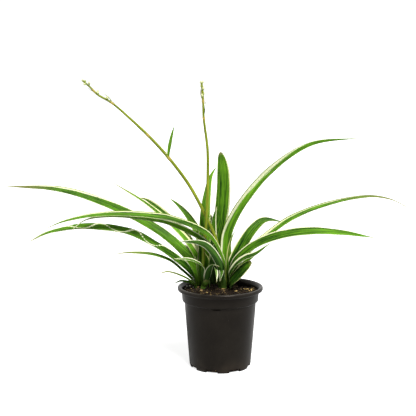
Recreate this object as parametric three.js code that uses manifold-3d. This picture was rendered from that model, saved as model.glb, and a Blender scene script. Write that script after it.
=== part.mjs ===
// A spider plant in a round nursery pot, in millimetres.
// +Z is up, +X is to the right and +Y is to the back. The origin is the centre of the pot's base.
// The plant grows from three crowns, which are short discs of stem. The leaves stand on a crown in rings,
// each wrapped round the next one in, as in a leek, and the outer ones lean out first. A flower stalk rises
// from the middle of each of the two front crowns.
import * as THREE from "three";
import { mergeVertices } from "three/addons/utils/BufferGeometryUtils.js";
import Module from "manifold-3d";

const wasm = await Module();
wasm.setup();

// Pot
const POT_HEIGHT = 103;
const RIM_RADIUS = 54;
const COLLAR_RADIUS = 49;
const COLLAR_FOOT = 85; // height of the collar's lower edge
const BODY_TOP_RADIUS = 45.4;
const BASE_RADIUS = 39;
const POT_WALL = 1.4;
const BASE_THICKNESS = 1.8;
const FOOT_BEND = 2.6; // size of the corner between base and wall
const COLLAR_LEAN = 0.9; // how much the collar widens from its foot to the rim
const RIM_DEPTH = 5; // height of the rolled rim
const INNER_BEND = 3.5; // depth below the rim at which the inside becomes a plain wall
const POT_SIDES = 56;
const DRAIN_COUNT = 8;
const DRAIN_WIDTH = 15;
const DRAIN_HEIGHT = 4.6;
const DRAIN_DEPTH = 7; // how far a drain hole reaches in under the base
const FIRST_DRAIN = -62; // degrees from +X, so that one hole faces the front, to the right of the middle

// Soil
const FIT_GAP = 0.3; // between pieces that touch
const SOIL_GAP = 0.5; // to the pot's wall
const SOIL_LEVEL = 101.6;
const SOIL_EDGE_DROP = 1.6; // fall of the soil in its last few millimetres before the wall
const SOIL_EDGE_WIDTH = 7;
const HOLLOW = { x: 34, y: 22, reach: 28, floor: 13, depth: 11 }; // where the soil has sunk, back right
const SOIL_RINGS = [44, 40.5, 36, 30, 24, 18, 12, 6];
const SOIL_SIDES = 48;
const SOIL_FOOT = 2.4; // height of the soil's lower corner above the pot's base

// Crowns
const CROWN_RADIUS = 12.9;
const CROWN_DEPTH = 16; // how far a crown goes down into the soil
const CROWN_TOP = 101.2;
const CROWN_SIDES = 24;
const INNER_RING = 3; // radius of the innermost ring of leaf bases, which leaves room for a stalk
const RING_PITCH = 1.5;
const LEFT = [-22, -4];
const RIGHT = [6, -5];
const BACK = [-8, 20];

// Leaves
const MID_THICKNESS = 0.8; // at the midrib
const EDGE_THICKNESS = 0.6;
const LEAF_STEP = 11; // length of leaf between two rows of points
const BASE_HALF_WIDTH = 3.1;
const SHEATH_HEIGHT = 10; // how far the innermost leaves stand straight up, one less for each ring outward
const MID_FOLD = 24; // degrees that each half of a leaf is folded up in its lower part
const TIP_FOLD = 9;
const FULL_WIDTH_FROM = 50; // length of leaf in which it widens from its base
const LEAF_TAPER = 3.4; // the larger it is, the nearer to the tip a leaf keeps its width
const WAVE_RATE = 26; // how fast the waves of a ruffled edge follow one another

// Flower stalks
const STALK_SIDES = 8;
const STALK_STEPS = 30;
const STALK_BEND = 0.6; // share of its length from which a stalk thins towards its tip
const BRACT_STEPS = 6;
const BUD_SIDES = 6;

const radians = THREE.MathUtils.degToRad;
const lerp = THREE.MathUtils.lerp;
const smoothstep = THREE.MathUtils.smoothstep;

const leafGreen = { color: 0x4f8a2b, roughness: 0.5, metalness: 0 };
const stalkGreen = { color: 0x8a9a2e, roughness: 0.55, metalness: 0 };
const crownGreen = { color: 0xb9c58a, roughness: 0.6, metalness: 0 };
const blackPlastic = { color: 0x26231f, roughness: 0.45, metalness: 0 };
const pottingMix = { color: 0x2e2019, roughness: 0.95, metalness: 0 };

// The leaves, each with the crown and ring that it stands on, the way that its base faces in degrees from
// +X, its width, and the points that its midrib passes through after its base. "turn" rolls its upper face
// towards the front, in its lower part and at its tip. "blunt" is the share of its width left at a round tip.
const LEAVES = [
  { name: "leaf_left_long", crown: LEFT, ring: 3, facing: 172, width: 16, turn: [40, 45],
    path: [[-33, -2, 129], [-52, 4, 151], [-90, 12, 178], [-153, 24, 207], [-205, 30, 222],
      [-278, 34, 226]] },
  { name: "leaf_left_upper", crown: LEFT, ring: 2, facing: 145, width: 14, taper: 1.5,
    turn: [15, 20],
    path: [[-28, 5, 133], [-44, 11, 160], [-61, 18, 177], [-95, 34, 203.5], [-143, 47, 231.5]] },
  { name: "leaf_left_behind", crown: LEFT, ring: 3, facing: 116, width: 13, turn: [10, 30],
    path: [[-27, 9, 132], [-38, 18, 154], [-58, 28, 177], [-80, 40, 197], [-96, 49, 207],
      [-108, 57, 209]] },
  { name: "leaf_left_broad", crown: LEFT, ring: 1, facing: 115, width: 12, turn: [10, 30],
    path: [[-23, 4, 142], [-26.5, 8, 165], [-39, 14, 188], [-53, 21, 203], [-66, 28, 212]] },
  { name: "leaf_upright_left", crown: LEFT, ring: 0, facing: 85, width: 15, turn: [0, 0], taper: 2.4,
    path: [[-20, 1, 149], [-19.5, 3, 177], [-18.5, 7, 199], [-16.5, 13, 217], [-12, 24, 239],
      [-4, 36, 252]] },
  { name: "leaf_left_curled", crown: LEFT, ring: 4, facing: 192, width: 14, ruffle: 1.6,
    turn: [30, 35],
    path: [[-34, -8, 117], [-43, -14, 130], [-62, -22, 146], [-95, -32, 169], [-134, -40, 183],
      [-175, -46, 185], [-208, -51, 179], [-232, -54, 167]] },
  { name: "leaf_left_thin", crown: LEFT, ring: 5, facing: 206, width: 6.5, turn: [30, 30],
    path: [[-35, -11, 113], [-48, -18, 126], [-62, -23, 139], [-75, -28, 146], [-88, -32, 150],
      [-110, -40, 153], [-129, -44, 152]] },
  { name: "leaf_left_short", crown: LEFT, ring: 6, facing: 214, width: 4.5, turn: [25, 25],
    path: [[-39, -18, 114], [-48, -23, 120], [-57, -28, 125], [-66, -31, 127.5], [-77, -34, 125]] },
  { name: "leaf_left_over_rim", crown: LEFT, ring: 6, facing: 180, width: 6, turn: [25, 10],
    path: [[-41, -4, 108], [-50, -5, 110], [-59, -8, 107]] },
  { name: "leaf_front_low", crown: LEFT, ring: 1, facing: 250, width: 10, turn: [45, 50],
    path: [[-24, -14, 120], [-23, -19, 131], [-28, -25, 137], [-38, -31, 142.5], [-57, -40, 145.5]] },
  { name: "leaf_front_dark", crown: LEFT, ring: 2, facing: 290, width: 11, turn: [0, 0],
    path: [[-17, -17, 113], [-15, -22, 123], [-13, -29, 131.5], [-9, -35, 137], [-2, -41, 136]] },
  { name: "leaf_middle_small", crown: LEFT, ring: 4, facing: 345, width: 4, turn: [0, 0],
    path: [[-15, -10, 122], [-14, -12, 139], [-20, -14, 149]] },
  { name: "leaf_front_stub", crown: LEFT, ring: 6, facing: 275, width: 8, turn: [0, 0], blunt: 0.35,
    path: [[-19, -18, 108], [-17.5, -20, 115]] },
  { name: "leaf_left_arched", crown: RIGHT, ring: 1, facing: 210, width: 15, turn: [35, 35],
    path: [[4, -12, 129], [-1, -14, 145], [-7, -17, 157.5], [-15, -21, 169], [-27, -26, 178],
      [-53, -33, 190], [-74, -38, 196], [-138, -54, 202], [-185, -63, 195], [-208, -67, 186]] },
  { name: "leaf_left_dark", crown: RIGHT, ring: 2, facing: 192, width: 13, ruffle: 0.9,
    turn: [30, 35],
    path: [[-4, -9, 138], [-22, -18, 163], [-62, -27, 186], [-122, -43, 198], [-162, -56, 195],
      [-178, -62, 183]] },
  { name: "leaf_front_left", crown: RIGHT, ring: 3, facing: 240, width: 11, turn: [-45, -50],
    path: [[1, -19, 130], [-4, -24, 142], [-11, -29, 153.5], [-19, -34, 161.5], [-30, -40, 166],
      [-50, -52, 168.5]] },
  { name: "leaf_front_drooping", crown: RIGHT, ring: 4, facing: 213, width: 8, turn: [0, 0],
    path: [[-5, -17, 119], [-6.5, -24, 128], [-6.5, -31, 131], [-5, -38, 127], [-5, -44, 117]] },
  { name: "leaf_front_looped", crown: RIGHT, ring: 5, facing: 262, width: 8, turn: [0, 0],
    path: [[2, -20, 118], [1, -27, 128], [1, -36, 127], [-1, -42, 118]] },
  { name: "leaf_right_tall", crown: RIGHT, ring: 0, facing: 80, width: 18, taper: 1.5,
    turn: [30, 20],
    path: [[5.8, 3.8, 138], [7, 4.5, 168], [15.5, 3.5, 190], [28, 4, 210.5], [61, 9, 248],
      [112.5, 16, 281], [178, 23, 288.5]] },
  { name: "leaf_right_narrow", crown: RIGHT, ring: 1, facing: 335, width: 7, turn: [58, 45],
    path: [[9.5, -12, 132], [11, -13, 152], [14, -12, 166], [18, -7, 173], [24, 0, 176]] },
  { name: "leaf_right_broad", crown: RIGHT, ring: 2, facing: 40, width: 15, turn: [30, 0],
    path: [[17.3, 0, 131], [27.5, 1, 153], [42.5, 6, 175], [55.5, 14, 184.5], [76, 28, 181],
      [92, 38, 174]] },
  { name: "leaf_right_long", crown: RIGHT, ring: 3, facing: 34, width: 10.5, taper: 2,
    turn: [35, 25],
    path: [[17, 2, 127], [30, 5, 142], [53, 8, 161], [89, 14, 186.5], [140, 24, 205], [193, 33, 213],
      [221, 35, 208.5], [248, 36, 195]] },
  { name: "leaf_right_wide", crown: RIGHT, ring: 3, facing: 336, width: 17.5, turn: [40, 45],
    path: [[17, -13, 131], [37, -18, 152.5], [67, -26, 169], [109, -34, 178], [151, -38, 176.5],
      [186, -42, 171.5]] },
  { name: "leaf_right_lower", crown: RIGHT, ring: 4, facing: 318, width: 13, turn: [50, 40],
    path: [[12.4, -22.6, 121], [20, -29, 136], [30, -35, 145.5], [42, -40, 151.5], [60, -46, 166]] },
  { name: "leaf_right_thin", crown: RIGHT, ring: 5, facing: 335, width: 10, turn: [55, 40],
    path: [[18, -15, 118], [26, -20, 130.5], [34, -25, 141], [43, -28, 149], [52, -31, 155]] },
  { name: "leaf_right_blunt", crown: RIGHT, ring: 6, facing: 312, width: 17, blunt: 0.45,
    turn: [62, 62],
    path: [[12, -21, 109], [20, -28.5, 120], [28, -34, 131], [37.5, -38, 141]] },
  { name: "leaf_upright_short", crown: BACK, ring: 0, facing: 100, width: 12, turn: [0, 0],
    path: [[-9, 20, 146], [-9, 21, 165], [-8, 24, 182], [-6, 28, 194], [-4, 31, 200]] },
  { name: "leaf_upright_right", crown: BACK, ring: 1, facing: 75, width: 20, blunt: 0.2, turn: [0, 0],
    path: [[-4, 33, 150], [2, 36, 184], [5, 38, 222], [4, 42, 250], [0.5, 46, 269]] },
  { name: "leaf_middle_left", crown: BACK, ring: 3, facing: 215, width: 15, turn: [0, 0],
    path: [[-18.5, 14.2, 120], [-19, 14, 138], [-18.5, 15, 156], [-17, 17.5, 169]] },
  { name: "leaf_middle_right", crown: BACK, ring: 3, facing: 300, width: 14, turn: [0, 0],
    path: [[-5, 13.5, 124], [-5.5, 14.5, 140], [-5, 15.5, 156], [-4, 17, 167]] },
  { name: "leaf_middle_short", crown: BACK, ring: 4, facing: 268, width: 11, turn: [0, 0],
    path: [[-9.8, 8.8, 120], [-9.5, 8.5, 134], [-9.5, 9.5, 148]] },
  { name: "leaf_back_tall", crown: BACK, ring: 3, facing: 90, width: 13, turn: [0, 0],
    path: [[-6, 36, 140], [-2, 47, 182], [3, 68, 222], [4, 100, 238], [5, 136, 224], [6, 158, 200]] },
  { name: "leaf_back_middle", crown: BACK, ring: 4, facing: 96, width: 13, turn: [0, 0],
    path: [[-10, 38, 138], [-12, 52, 164], [-16, 82, 180], [-20, 118, 168], [-22, 146, 140]] },
  { name: "leaf_back_left", crown: BACK, ring: 2, facing: 140, width: 12, turn: [0, 0],
    path: [[-26, 30, 126], [-41, 38, 140], [-63, 50, 152], [-93, 72, 170], [-124, 94, 183]] },
  { name: "leaf_back_right", crown: BACK, ring: 2, facing: 60, width: 11, turn: [0, 0],
    path: [[16, 32, 131], [24, 46, 144], [31, 64, 152], [40, 85, 158], [45, 104, 158]] },
  { name: "leaf_back_left_low", crown: BACK, ring: 4, facing: 165, width: 11, turn: [0, 0],
    path: [[-31, 26, 116], [-47, 34, 126], [-68, 48, 139], [-99, 72, 149], [-136, 98, 159]] },
  { name: "leaf_back_right_low", crown: BACK, ring: 4, facing: 15, width: 12, turn: [0, 0],
    path: [[17, 22, 118], [39, 31, 140], [63, 47, 154], [103, 76, 158], [141, 100, 154]] },
  { name: "leaf_back_drooping", crown: BACK, ring: 5, facing: 110, width: 11, turn: [0, 0],
    path: [[-16, 38, 118], [-22, 52, 133], [-26, 80, 132], [-31, 110, 112]] },
];

// The flower stalks. Each rises from the middle of a crown through the points given. Its bracts and flower
// buds stand at a share "at" of its length and reach by "to" from there, and are one body with it.
const STALKS = [
  { name: "flower_stalk_left", crown: RIGHT, width: [3.6, 3.2, 1.7],
    path: [[6, -5, 122], [4, -4, 134], [-1.5, -4, 150], [-8.5, -4, 171], [-19, -4, 194],
      [-38, -4, 230], [-62, -6, 263], [-87, -7, 291], [-110, -8, 313], [-133, -9, 333],
      [-150, -9, 343], [-159, -10, 352], [-168, -10, 360]],
    bracts: [
      { at: 0.56, width: 5.4, to: [7, -6, 41], bow: [-1, -2, 14], turn: 70 },
      { at: 0.68, width: 4.4, to: [-19, -1, 18], bow: [-10, -1, 5] },
      { at: 0.86, width: 3.2, to: [-9, -1, 11], bow: [0, 0, 5] },
      { at: 0.945, width: 2.6, to: [-6, -2, 3], bow: [-1, 0, -2] },
    ],
    buds: [
      { at: 0.57, length: 7, to: [-0.3, -0.4, 1] },
      { at: 0.875, length: 7, to: [-0.5, -0.5, 1] },
      { at: 0.915, length: 7, to: [-0.5, -0.4, 1] },
      { at: 0.925, length: 6, to: [0.1, 0.6, 1] },
      { at: 0.965, length: 7, to: [-0.1, -0.3, 1] },
      { at: 0.975, length: 6, to: [-1, -0.5, 0.3] },
      { at: 0.985, length: 5, to: [-0.3, 0.6, 1] },
      { at: 0.99, length: 5, to: [-1, 0.2, 0.9] },
    ] },
  { name: "flower_stalk_upright", crown: LEFT, width: [3.4, 3, 2],
    path: [[-22, -5, 125], [-20, -8, 160], [-17, -10, 195], [-16, -8, 226], [-16, -8, 275],
      [-19.5, -8, 304], [-21, -8, 318], [-21.5, -8, 335], [-22.5, -8, 350], [-23.5, -8, 358]],
    bracts: [
      { at: 0.83, width: 4.2, to: [2, -2, 20], bow: [2, -2, 8], turn: 40 },
      { at: 0.91, width: 3.4, to: [-3, -1, 15], bow: [-2, 0, 6], turn: 40 },
    ],
    buds: [
      { at: 0.915, length: 9, to: [-0.2, -0.2, 1] },
      { at: 0.925, length: 9, to: [0.1, 0.3, 1] },
      { at: 0.95, length: 8, to: [0.15, -0.2, 1] },
      { at: 0.965, length: 7, to: [-0.25, 0.1, 1] },
      { at: 0.985, length: 6, to: [0.2, 0.1, 1] },
      { at: 0.985, length: 6, to: [-0.3, -0.2, 1] },
    ] },
];

// Solids and meshes
function manifoldFrom(geometry) {
  const bare = geometry.clone();
  bare.deleteAttribute("normal");
  bare.deleteAttribute("uv");
  const merged = mergeVertices(bare, 1e-4);
  return new wasm.Manifold(
    new wasm.Mesh({
      numProp: 3,
      vertProperties: new Float32Array(merged.attributes.position.array),
      triVerts: new Uint32Array(merged.index.array),
    }),
  );
}

function geometryFrom(solid) {
  const mesh = solid.getMesh();
  const geometry = new THREE.BufferGeometry();
  geometry.setAttribute("position", new THREE.BufferAttribute(mesh.vertProperties, 3));
  geometry.setIndex(new THREE.BufferAttribute(mesh.triVerts, 1));
  geometry.computeVertexNormals();
  return geometry;
}

function indexedGeometry(points, index) {
  const geometry = new THREE.BufferGeometry();
  const positions = points.flatMap((p) => [p.x, p.y, p.z]);
  geometry.setAttribute("position", new THREE.Float32BufferAttribute(positions, 3));
  geometry.setIndex(index);
  geometry.computeVertexNormals();
  return geometry;
}

// A closed surface through loops of points that follow one another, each closed by a fan at the two ends.
// Seen from the last loop, the points run anticlockwise.
function loftedGeometry(loops) {
  const count = loops[0].length;
  const points = loops.flat();
  const index = [];
  for (let row = 0; row < loops.length - 1; row++) {
    for (let i = 0; i < count; i++) {
      const a = row * count + i;
      const b = row * count + ((i + 1) % count);
      index.push(a, b, b + count, a, b + count, a + count);
    }
  }
  const middleOf = (loop) => loop.reduce((sum, p) => sum.add(p), new THREE.Vector3()).divideScalar(count);
  const first = points.length;
  points.push(middleOf(loops[0]), middleOf(loops.at(-1)));
  const top = (loops.length - 1) * count;
  for (let i = 0; i < count; i++) {
    const next = (i + 1) % count;
    index.push(first, next, i, first + 1, top + i, top + next);
  }
  return indexedGeometry(points, index);
}

const plant = new THREE.Group();

function addMesh(name, geometry, finish) {
  const mesh = new THREE.Mesh(geometry, new THREE.MeshStandardMaterial(finish));
  mesh.name = name;
  plant.add(mesh);
}

// Pot: a thin tapered wall with a collar and a rolled rim, and drain holes round the foot
function buildPot() {
  const profile = [
    [0, 0],
    [BASE_RADIUS - FOOT_BEND, 0],
    [BASE_RADIUS - 0.9, 0.8],
    [BASE_RADIUS, FOOT_BEND],
    [BODY_TOP_RADIUS, COLLAR_FOOT - 1.5],
    [COLLAR_RADIUS - COLLAR_LEAN, COLLAR_FOOT],
    [COLLAR_RADIUS, POT_HEIGHT - RIM_DEPTH - 1],
    [RIM_RADIUS - 0.8, POT_HEIGHT - RIM_DEPTH],
    [RIM_RADIUS, POT_HEIGHT - 3.8],
    [RIM_RADIUS, POT_HEIGHT - 1.4],
    [RIM_RADIUS - 0.8, POT_HEIGHT - 0.2],
    [RIM_RADIUS - 2.4, POT_HEIGHT],
    [COLLAR_RADIUS + 0.6, POT_HEIGHT - 0.8],
    [COLLAR_RADIUS - POT_WALL, POT_HEIGHT - INNER_BEND],
    [COLLAR_RADIUS - COLLAR_LEAN - POT_WALL, COLLAR_FOOT + POT_WALL],
    [BODY_TOP_RADIUS - POT_WALL, COLLAR_FOOT - 1],
    [BASE_RADIUS - POT_WALL, BASE_THICKNESS + 2],
    [BASE_RADIUS - POT_WALL - 1.5, BASE_THICKNESS],
    [0, BASE_THICKNESS],
  ];
  const turned = new THREE.LatheGeometry(profile.map(([r, z]) => new THREE.Vector2(r, z)), POT_SIDES);
  turned.rotateX(Math.PI / 2);
  let pot = manifoldFrom(turned);
  for (let i = 0; i < DRAIN_COUNT; i++) {
    const drain = new THREE.BoxGeometry(2 * DRAIN_DEPTH, DRAIN_WIDTH, 2 * DRAIN_HEIGHT);
    drain.translate(BASE_RADIUS + 1, 0, 0);
    drain.rotateZ(radians(FIRST_DRAIN + (i * 360) / DRAIN_COUNT));
    pot = pot.subtract(manifoldFrom(drain));
  }
  addMesh("pot", geometryFrom(pot), blackPlastic);
}

// Soil: it fills the pot to the rim, except where it has sunk at the back right
function soilHeight(x, y, edge) {
  const fromWall = edge - Math.hypot(x, y);
  const drop = SOIL_EDGE_DROP * (1 - smoothstep(fromWall, 0, SOIL_EDGE_WIDTH));
  const fromHollow = Math.hypot(x - HOLLOW.x, y - HOLLOW.y);
  const sunk = HOLLOW.depth * (1 - smoothstep(fromHollow, HOLLOW.floor, HOLLOW.reach));
  return SOIL_LEVEL - drop - sunk;
}

// The inner radius of the pot at a height, less the gap
function soilRadius(z) {
  const inset = POT_WALL + SOIL_GAP;
  const collar = COLLAR_FOOT + POT_WALL;
  if (z > collar) {
    const share = (z - collar) / (POT_HEIGHT - INNER_BEND - collar);
    return lerp(COLLAR_RADIUS - COLLAR_LEAN, COLLAR_RADIUS, share) - inset;
  }
  const low = BASE_THICKNESS + 2;
  return lerp(BASE_RADIUS, BODY_TOP_RADIUS, (z - low) / (COLLAR_FOOT - 1 - low)) - inset;
}

function buildSoil() {
  const circle = (radiusAt, heightAt) =>
    Array.from({ length: SOIL_SIDES }, (_, i) => {
      const angle = (i * 2 * Math.PI) / SOIL_SIDES;
      const r = radiusAt(angle);
      return new THREE.Vector3(r * Math.cos(angle), r * Math.sin(angle), heightAt(angle, r));
    });
  const level = (r, z) => circle(() => r, () => z);
  const bottom = BASE_THICKNESS + FIT_GAP;
  const corner = BASE_THICKNESS + SOIL_FOOT;
  const ledge = COLLAR_FOOT - 1;
  const edgeRadius = soilRadius(SOIL_LEVEL - SOIL_EDGE_DROP - HOLLOW.depth);
  const heightOn = (angle, r) => soilHeight(r * Math.cos(angle), r * Math.sin(angle), edgeRadius);
  const top = (r) => circle(() => r, heightOn);
  const loops = [
    level(BASE_RADIUS - POT_WALL - 2, bottom),
    level(soilRadius(corner), corner),
    level(soilRadius(ledge) - 0.1, ledge),
    level(edgeRadius, COLLAR_FOOT + POT_WALL + 1),
    top(edgeRadius),
    ...SOIL_RINGS.map(top),
    top(1.5),
  ];
  let soil = manifoldFrom(loftedGeometry(loops));
  const holeRadius = CROWN_RADIUS + FIT_GAP;
  const holeHeight = 2 * CROWN_DEPTH;
  for (const [x, y] of [LEFT, RIGHT, BACK]) {
    const hole = new THREE.CylinderGeometry(holeRadius, holeRadius, holeHeight, CROWN_SIDES);
    hole.rotateX(Math.PI / 2);
    hole.translate(x, y, CROWN_TOP - CROWN_DEPTH - FIT_GAP + holeHeight / 2);
    soil = soil.subtract(manifoldFrom(hole));
  }
  addMesh("soil", geometryFrom(soil), pottingMix);
}

function buildCrown(name, [x, y]) {
  const profile = [
    [0, CROWN_TOP - CROWN_DEPTH],
    [CROWN_RADIUS * 0.7, CROWN_TOP - CROWN_DEPTH],
    [CROWN_RADIUS - 0.3, CROWN_TOP - CROWN_DEPTH + 6],
    [CROWN_RADIUS - 0.1, CROWN_TOP - 0.4],
    [CROWN_RADIUS - 0.5, CROWN_TOP],
    [0, CROWN_TOP],
  ];
  const turned = new THREE.LatheGeometry(profile.map(([r, z]) => new THREE.Vector2(r, z)), CROWN_SIDES);
  turned.rotateX(Math.PI / 2);
  turned.translate(x, y, 0);
  addMesh(name, geometryFrom(manifoldFrom(turned)), crownGreen);
}

// The places along a midrib, with the directions that the leaf has there: along it, across it and out of
// its upper face. They are carried along the curve from its base without spinning round it.
function framesAlong(curve, across, steps) {
  const frames = [];
  for (let i = 0; i <= steps; i++) {
    const t = i / steps;
    const along = curve.getTangentAt(t);
    across = across.clone().addScaledVector(along, -across.dot(along)).normalize();
    const up = new THREE.Vector3().crossVectors(along, across);
    frames.push({ t, place: curve.getPointAt(t), along, across, up });
  }
  return frames;
}

// Half the width of a leaf at a share of its length
function halfWidth(t, length, width, base, taper, blunt) {
  const rising = lerp(base, width / 2, smoothstep(t * length, 6, Math.min(FULL_WIDTH_FROM, 0.6 * length)));
  if (blunt) {
    return rising * Math.max(blunt, Math.sqrt(1 - Math.pow(t, 7)));
  }
  return Math.max(0.35, rising * (1 - Math.pow(t, taper)));
}

// A leaf's blade: a thin folded strip with a midrib, split alike on both faces
function bladeGeometry(frames, halfWidthAt, foldAt, turnAt, rippleAt) {
  const upper = [];
  const lower = [];
  for (const { t, place, across, up } of frames) {
    const turn = turnAt(t);
    const side = across.clone().multiplyScalar(Math.cos(turn)).addScaledVector(up, Math.sin(turn));
    const face = up.clone().multiplyScalar(Math.cos(turn)).addScaledVector(across, -Math.sin(turn));
    const fold = foldAt(t);
    const half = halfWidthAt(t);
    for (const column of [-1, 0, 1]) {
      const lift = Math.abs(column) * half * Math.sin(fold) + rippleAt(t, column);
      const reach = column * half * Math.cos(fold);
      const point = place.clone().addScaledVector(side, reach).addScaledVector(face, lift);
      const out = face.clone().multiplyScalar(Math.cos(fold));
      out.addScaledVector(side, -column * Math.sin(fold)).normalize();
      const thickness = column === 0 ? MID_THICKNESS : EDGE_THICKNESS;
      upper.push(point.clone().addScaledVector(out, thickness / 2));
      lower.push(point.clone().addScaledVector(out, -thickness / 2));
    }
  }
  const rows = frames.length;
  const shift = upper.length;
  const index = [];
  for (let row = 0; row < rows - 1; row++) {
    for (let column = 0; column < 2; column++) {
      const a = row * 3 + column;
      index.push(a, a + 4, a + 1, a, a + 3, a + 4);
      index.push(shift + a, shift + a + 1, shift + a + 4, shift + a, shift + a + 4, shift + a + 3);
    }
    const left = row * 3;
    const right = left + 2;
    index.push(left, shift + left, shift + left + 3, left, shift + left + 3, left + 3);
    index.push(right, right + 3, shift + right + 3, right, shift + right + 3, shift + right);
  }
  const end = (rows - 1) * 3;
  for (let column = 0; column < 2; column++) {
    index.push(column, column + 1, shift + column + 1, column, shift + column + 1, shift + column);
    const a = end + column;
    index.push(a, shift + a + 1, a + 1, a, shift + a, shift + a + 1);
  }
  return indexedGeometry([...upper, ...lower], index);
}

function buildLeaf(leaf) {
  const { name, crown, ring, facing, width, turn, path } = leaf;
  const { taper = LEAF_TAPER, blunt = 0, ruffle = 0 } = leaf;
  const ringRadius = INNER_RING + ring * RING_PITCH;
  const heading = radians(facing);
  const out = new THREE.Vector3(Math.cos(heading), Math.sin(heading), 0);
  const foot = new THREE.Vector3(crown[0], crown[1], CROWN_TOP + FIT_GAP).addScaledVector(out, ringRadius);
  const sheathTop = foot.clone();
  sheathTop.z += SHEATH_HEIGHT - ring;
  const points = [foot, sheathTop, ...path.map(([x, y, z]) => new THREE.Vector3(x, y, z))];
  const curve = new THREE.CatmullRomCurve3(points, false, "centripetal");
  const across = new THREE.Vector3(-Math.sin(heading), Math.cos(heading), 0);
  const length = curve.getLength();
  const steps = Math.max(5, Math.round(length / LEAF_STEP));
  const base = Math.min(BASE_HALF_WIDTH, width / 2);
  const wrap = Math.asin(base / (2 * ringRadius)); // the fold that lays a leaf's base round its ring
  const way = points.at(-1).x > foot.x ? 1 : -1;
  const foldAt = (t) => {
    const opening = lerp(wrap, radians(MID_FOLD), smoothstep(t, 0.08, 0.3));
    return lerp(opening, radians(TIP_FOLD), smoothstep(t, 0.3, 0.8));
  };
  const turnAt = (t) => way * radians(lerp(turn[0], turn[1], t)) * smoothstep(t, 0.02, 0.2);
  const rippleAt = (t, column) =>
    column * ruffle * Math.sin(t * WAVE_RATE + column) * smoothstep(t, 0.15, 0.4) * (1 - t);
  const widthAt = (t) => halfWidth(t, length, width, base, taper, blunt);
  const frames = framesAlong(curve, across, steps);
  addMesh(name, bladeGeometry(frames, widthAt, foldAt, turnAt, rippleAt), leafGreen);
}

// A loop round a place on a stalk
function ringAround({ place, across, up }, radius) {
  return Array.from({ length: STALK_SIDES }, (_, i) => {
    const angle = (i * 2 * Math.PI) / STALK_SIDES;
    const spoke = across.clone().multiplyScalar(Math.cos(angle)).addScaledVector(up, Math.sin(angle));
    return place.clone().addScaledVector(spoke, radius);
  });
}

// A bract is a small leaf that is folded round the stalk at its foot and leans away from it
function bractSolid(frame, { width, to, bow, turn = 0 }) {
  const root = frame.place;
  const reach = new THREE.Vector3(...to);
  const curve = new THREE.QuadraticBezierCurve3(
    root,
    root.clone().add(new THREE.Vector3(...bow)),
    root.clone().add(reach),
  );
  const lean = reach.clone().addScaledVector(frame.along, -frame.along.dot(reach));
  const across = new THREE.Vector3().crossVectors(lean.normalize(), frame.along).negate();
  const half = (t) => Math.max(0.4, (width / 2) * (0.75 + t) * (1 - Math.pow(t, 1.6)));
  const fold = (t) => radians(lerp(50, 12, smoothstep(t, 0, 0.5)));
  const frames = framesAlong(curve, across, BRACT_STEPS);
  return manifoldFrom(bladeGeometry(frames, half, fold, () => radians(turn), () => 0));
}

// A bud on its short stem, turned about its length and sunk into the stalk
function budSolid({ place }, { length, to }) {
  const profile = [
    [0, 0],
    [0.6, 0.2],
    [0.8, length * 0.4],
    [1.4, length * 0.66],
    [1, length * 0.92],
    [0, length],
  ];
  const turned = new THREE.LatheGeometry(profile.map(([r, y]) => new THREE.Vector2(r, y)), BUD_SIDES);
  const way = new THREE.Vector3(...to).normalize();
  turned.applyQuaternion(new THREE.Quaternion().setFromUnitVectors(new THREE.Vector3(0, 1, 0), way));
  turned.translate(place.x, place.y, place.z);
  return manifoldFrom(turned);
}

function buildStalk({ name, crown, width, path, bracts, buds }) {
  const foot = new THREE.Vector3(crown[0], crown[1], CROWN_TOP + FIT_GAP + 0.1);
  const points = [foot, ...path.map((p) => new THREE.Vector3(...p))];
  const curve = new THREE.CatmullRomCurve3(points, false, "centripetal");
  const [low, middle, high] = width;
  const loops = framesAlong(curve, new THREE.Vector3(0, 1, 0), STALK_STEPS).map((frame) => {
    const upper = (frame.t - STALK_BEND) / (1 - STALK_BEND);
    const thick = upper < 0 ? lerp(low, middle, frame.t / STALK_BEND) : lerp(middle, high, upper);
    return ringAround(frame, thick / 2);
  });
  let stalk = manifoldFrom(loftedGeometry(loops));
  const frameAt = (share) => ({ place: curve.getPointAt(share), along: curve.getTangentAt(share) });
  for (const bract of bracts) {
    stalk = stalk.add(bractSolid(frameAt(bract.at), bract));
  }
  for (const bud of buds) {
    stalk = stalk.add(budSolid(frameAt(bud.at), bud));
  }
  addMesh(name, geometryFrom(stalk), stalkGreen);
}

buildPot();
buildSoil();
buildCrown("crown_left", LEFT);
buildCrown("crown_right", RIGHT);
buildCrown("crown_back", BACK);
LEAVES.forEach(buildLeaf);
STALKS.forEach(buildStalk);

export default plant;
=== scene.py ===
import math
import random
from typing import NamedTuple

import bmesh
import bpy
import numpy as np
from bpy.props import FloatProperty, FloatVectorProperty, IntProperty, PointerProperty
from mathutils import Color, Matrix, Vector, noise


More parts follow.
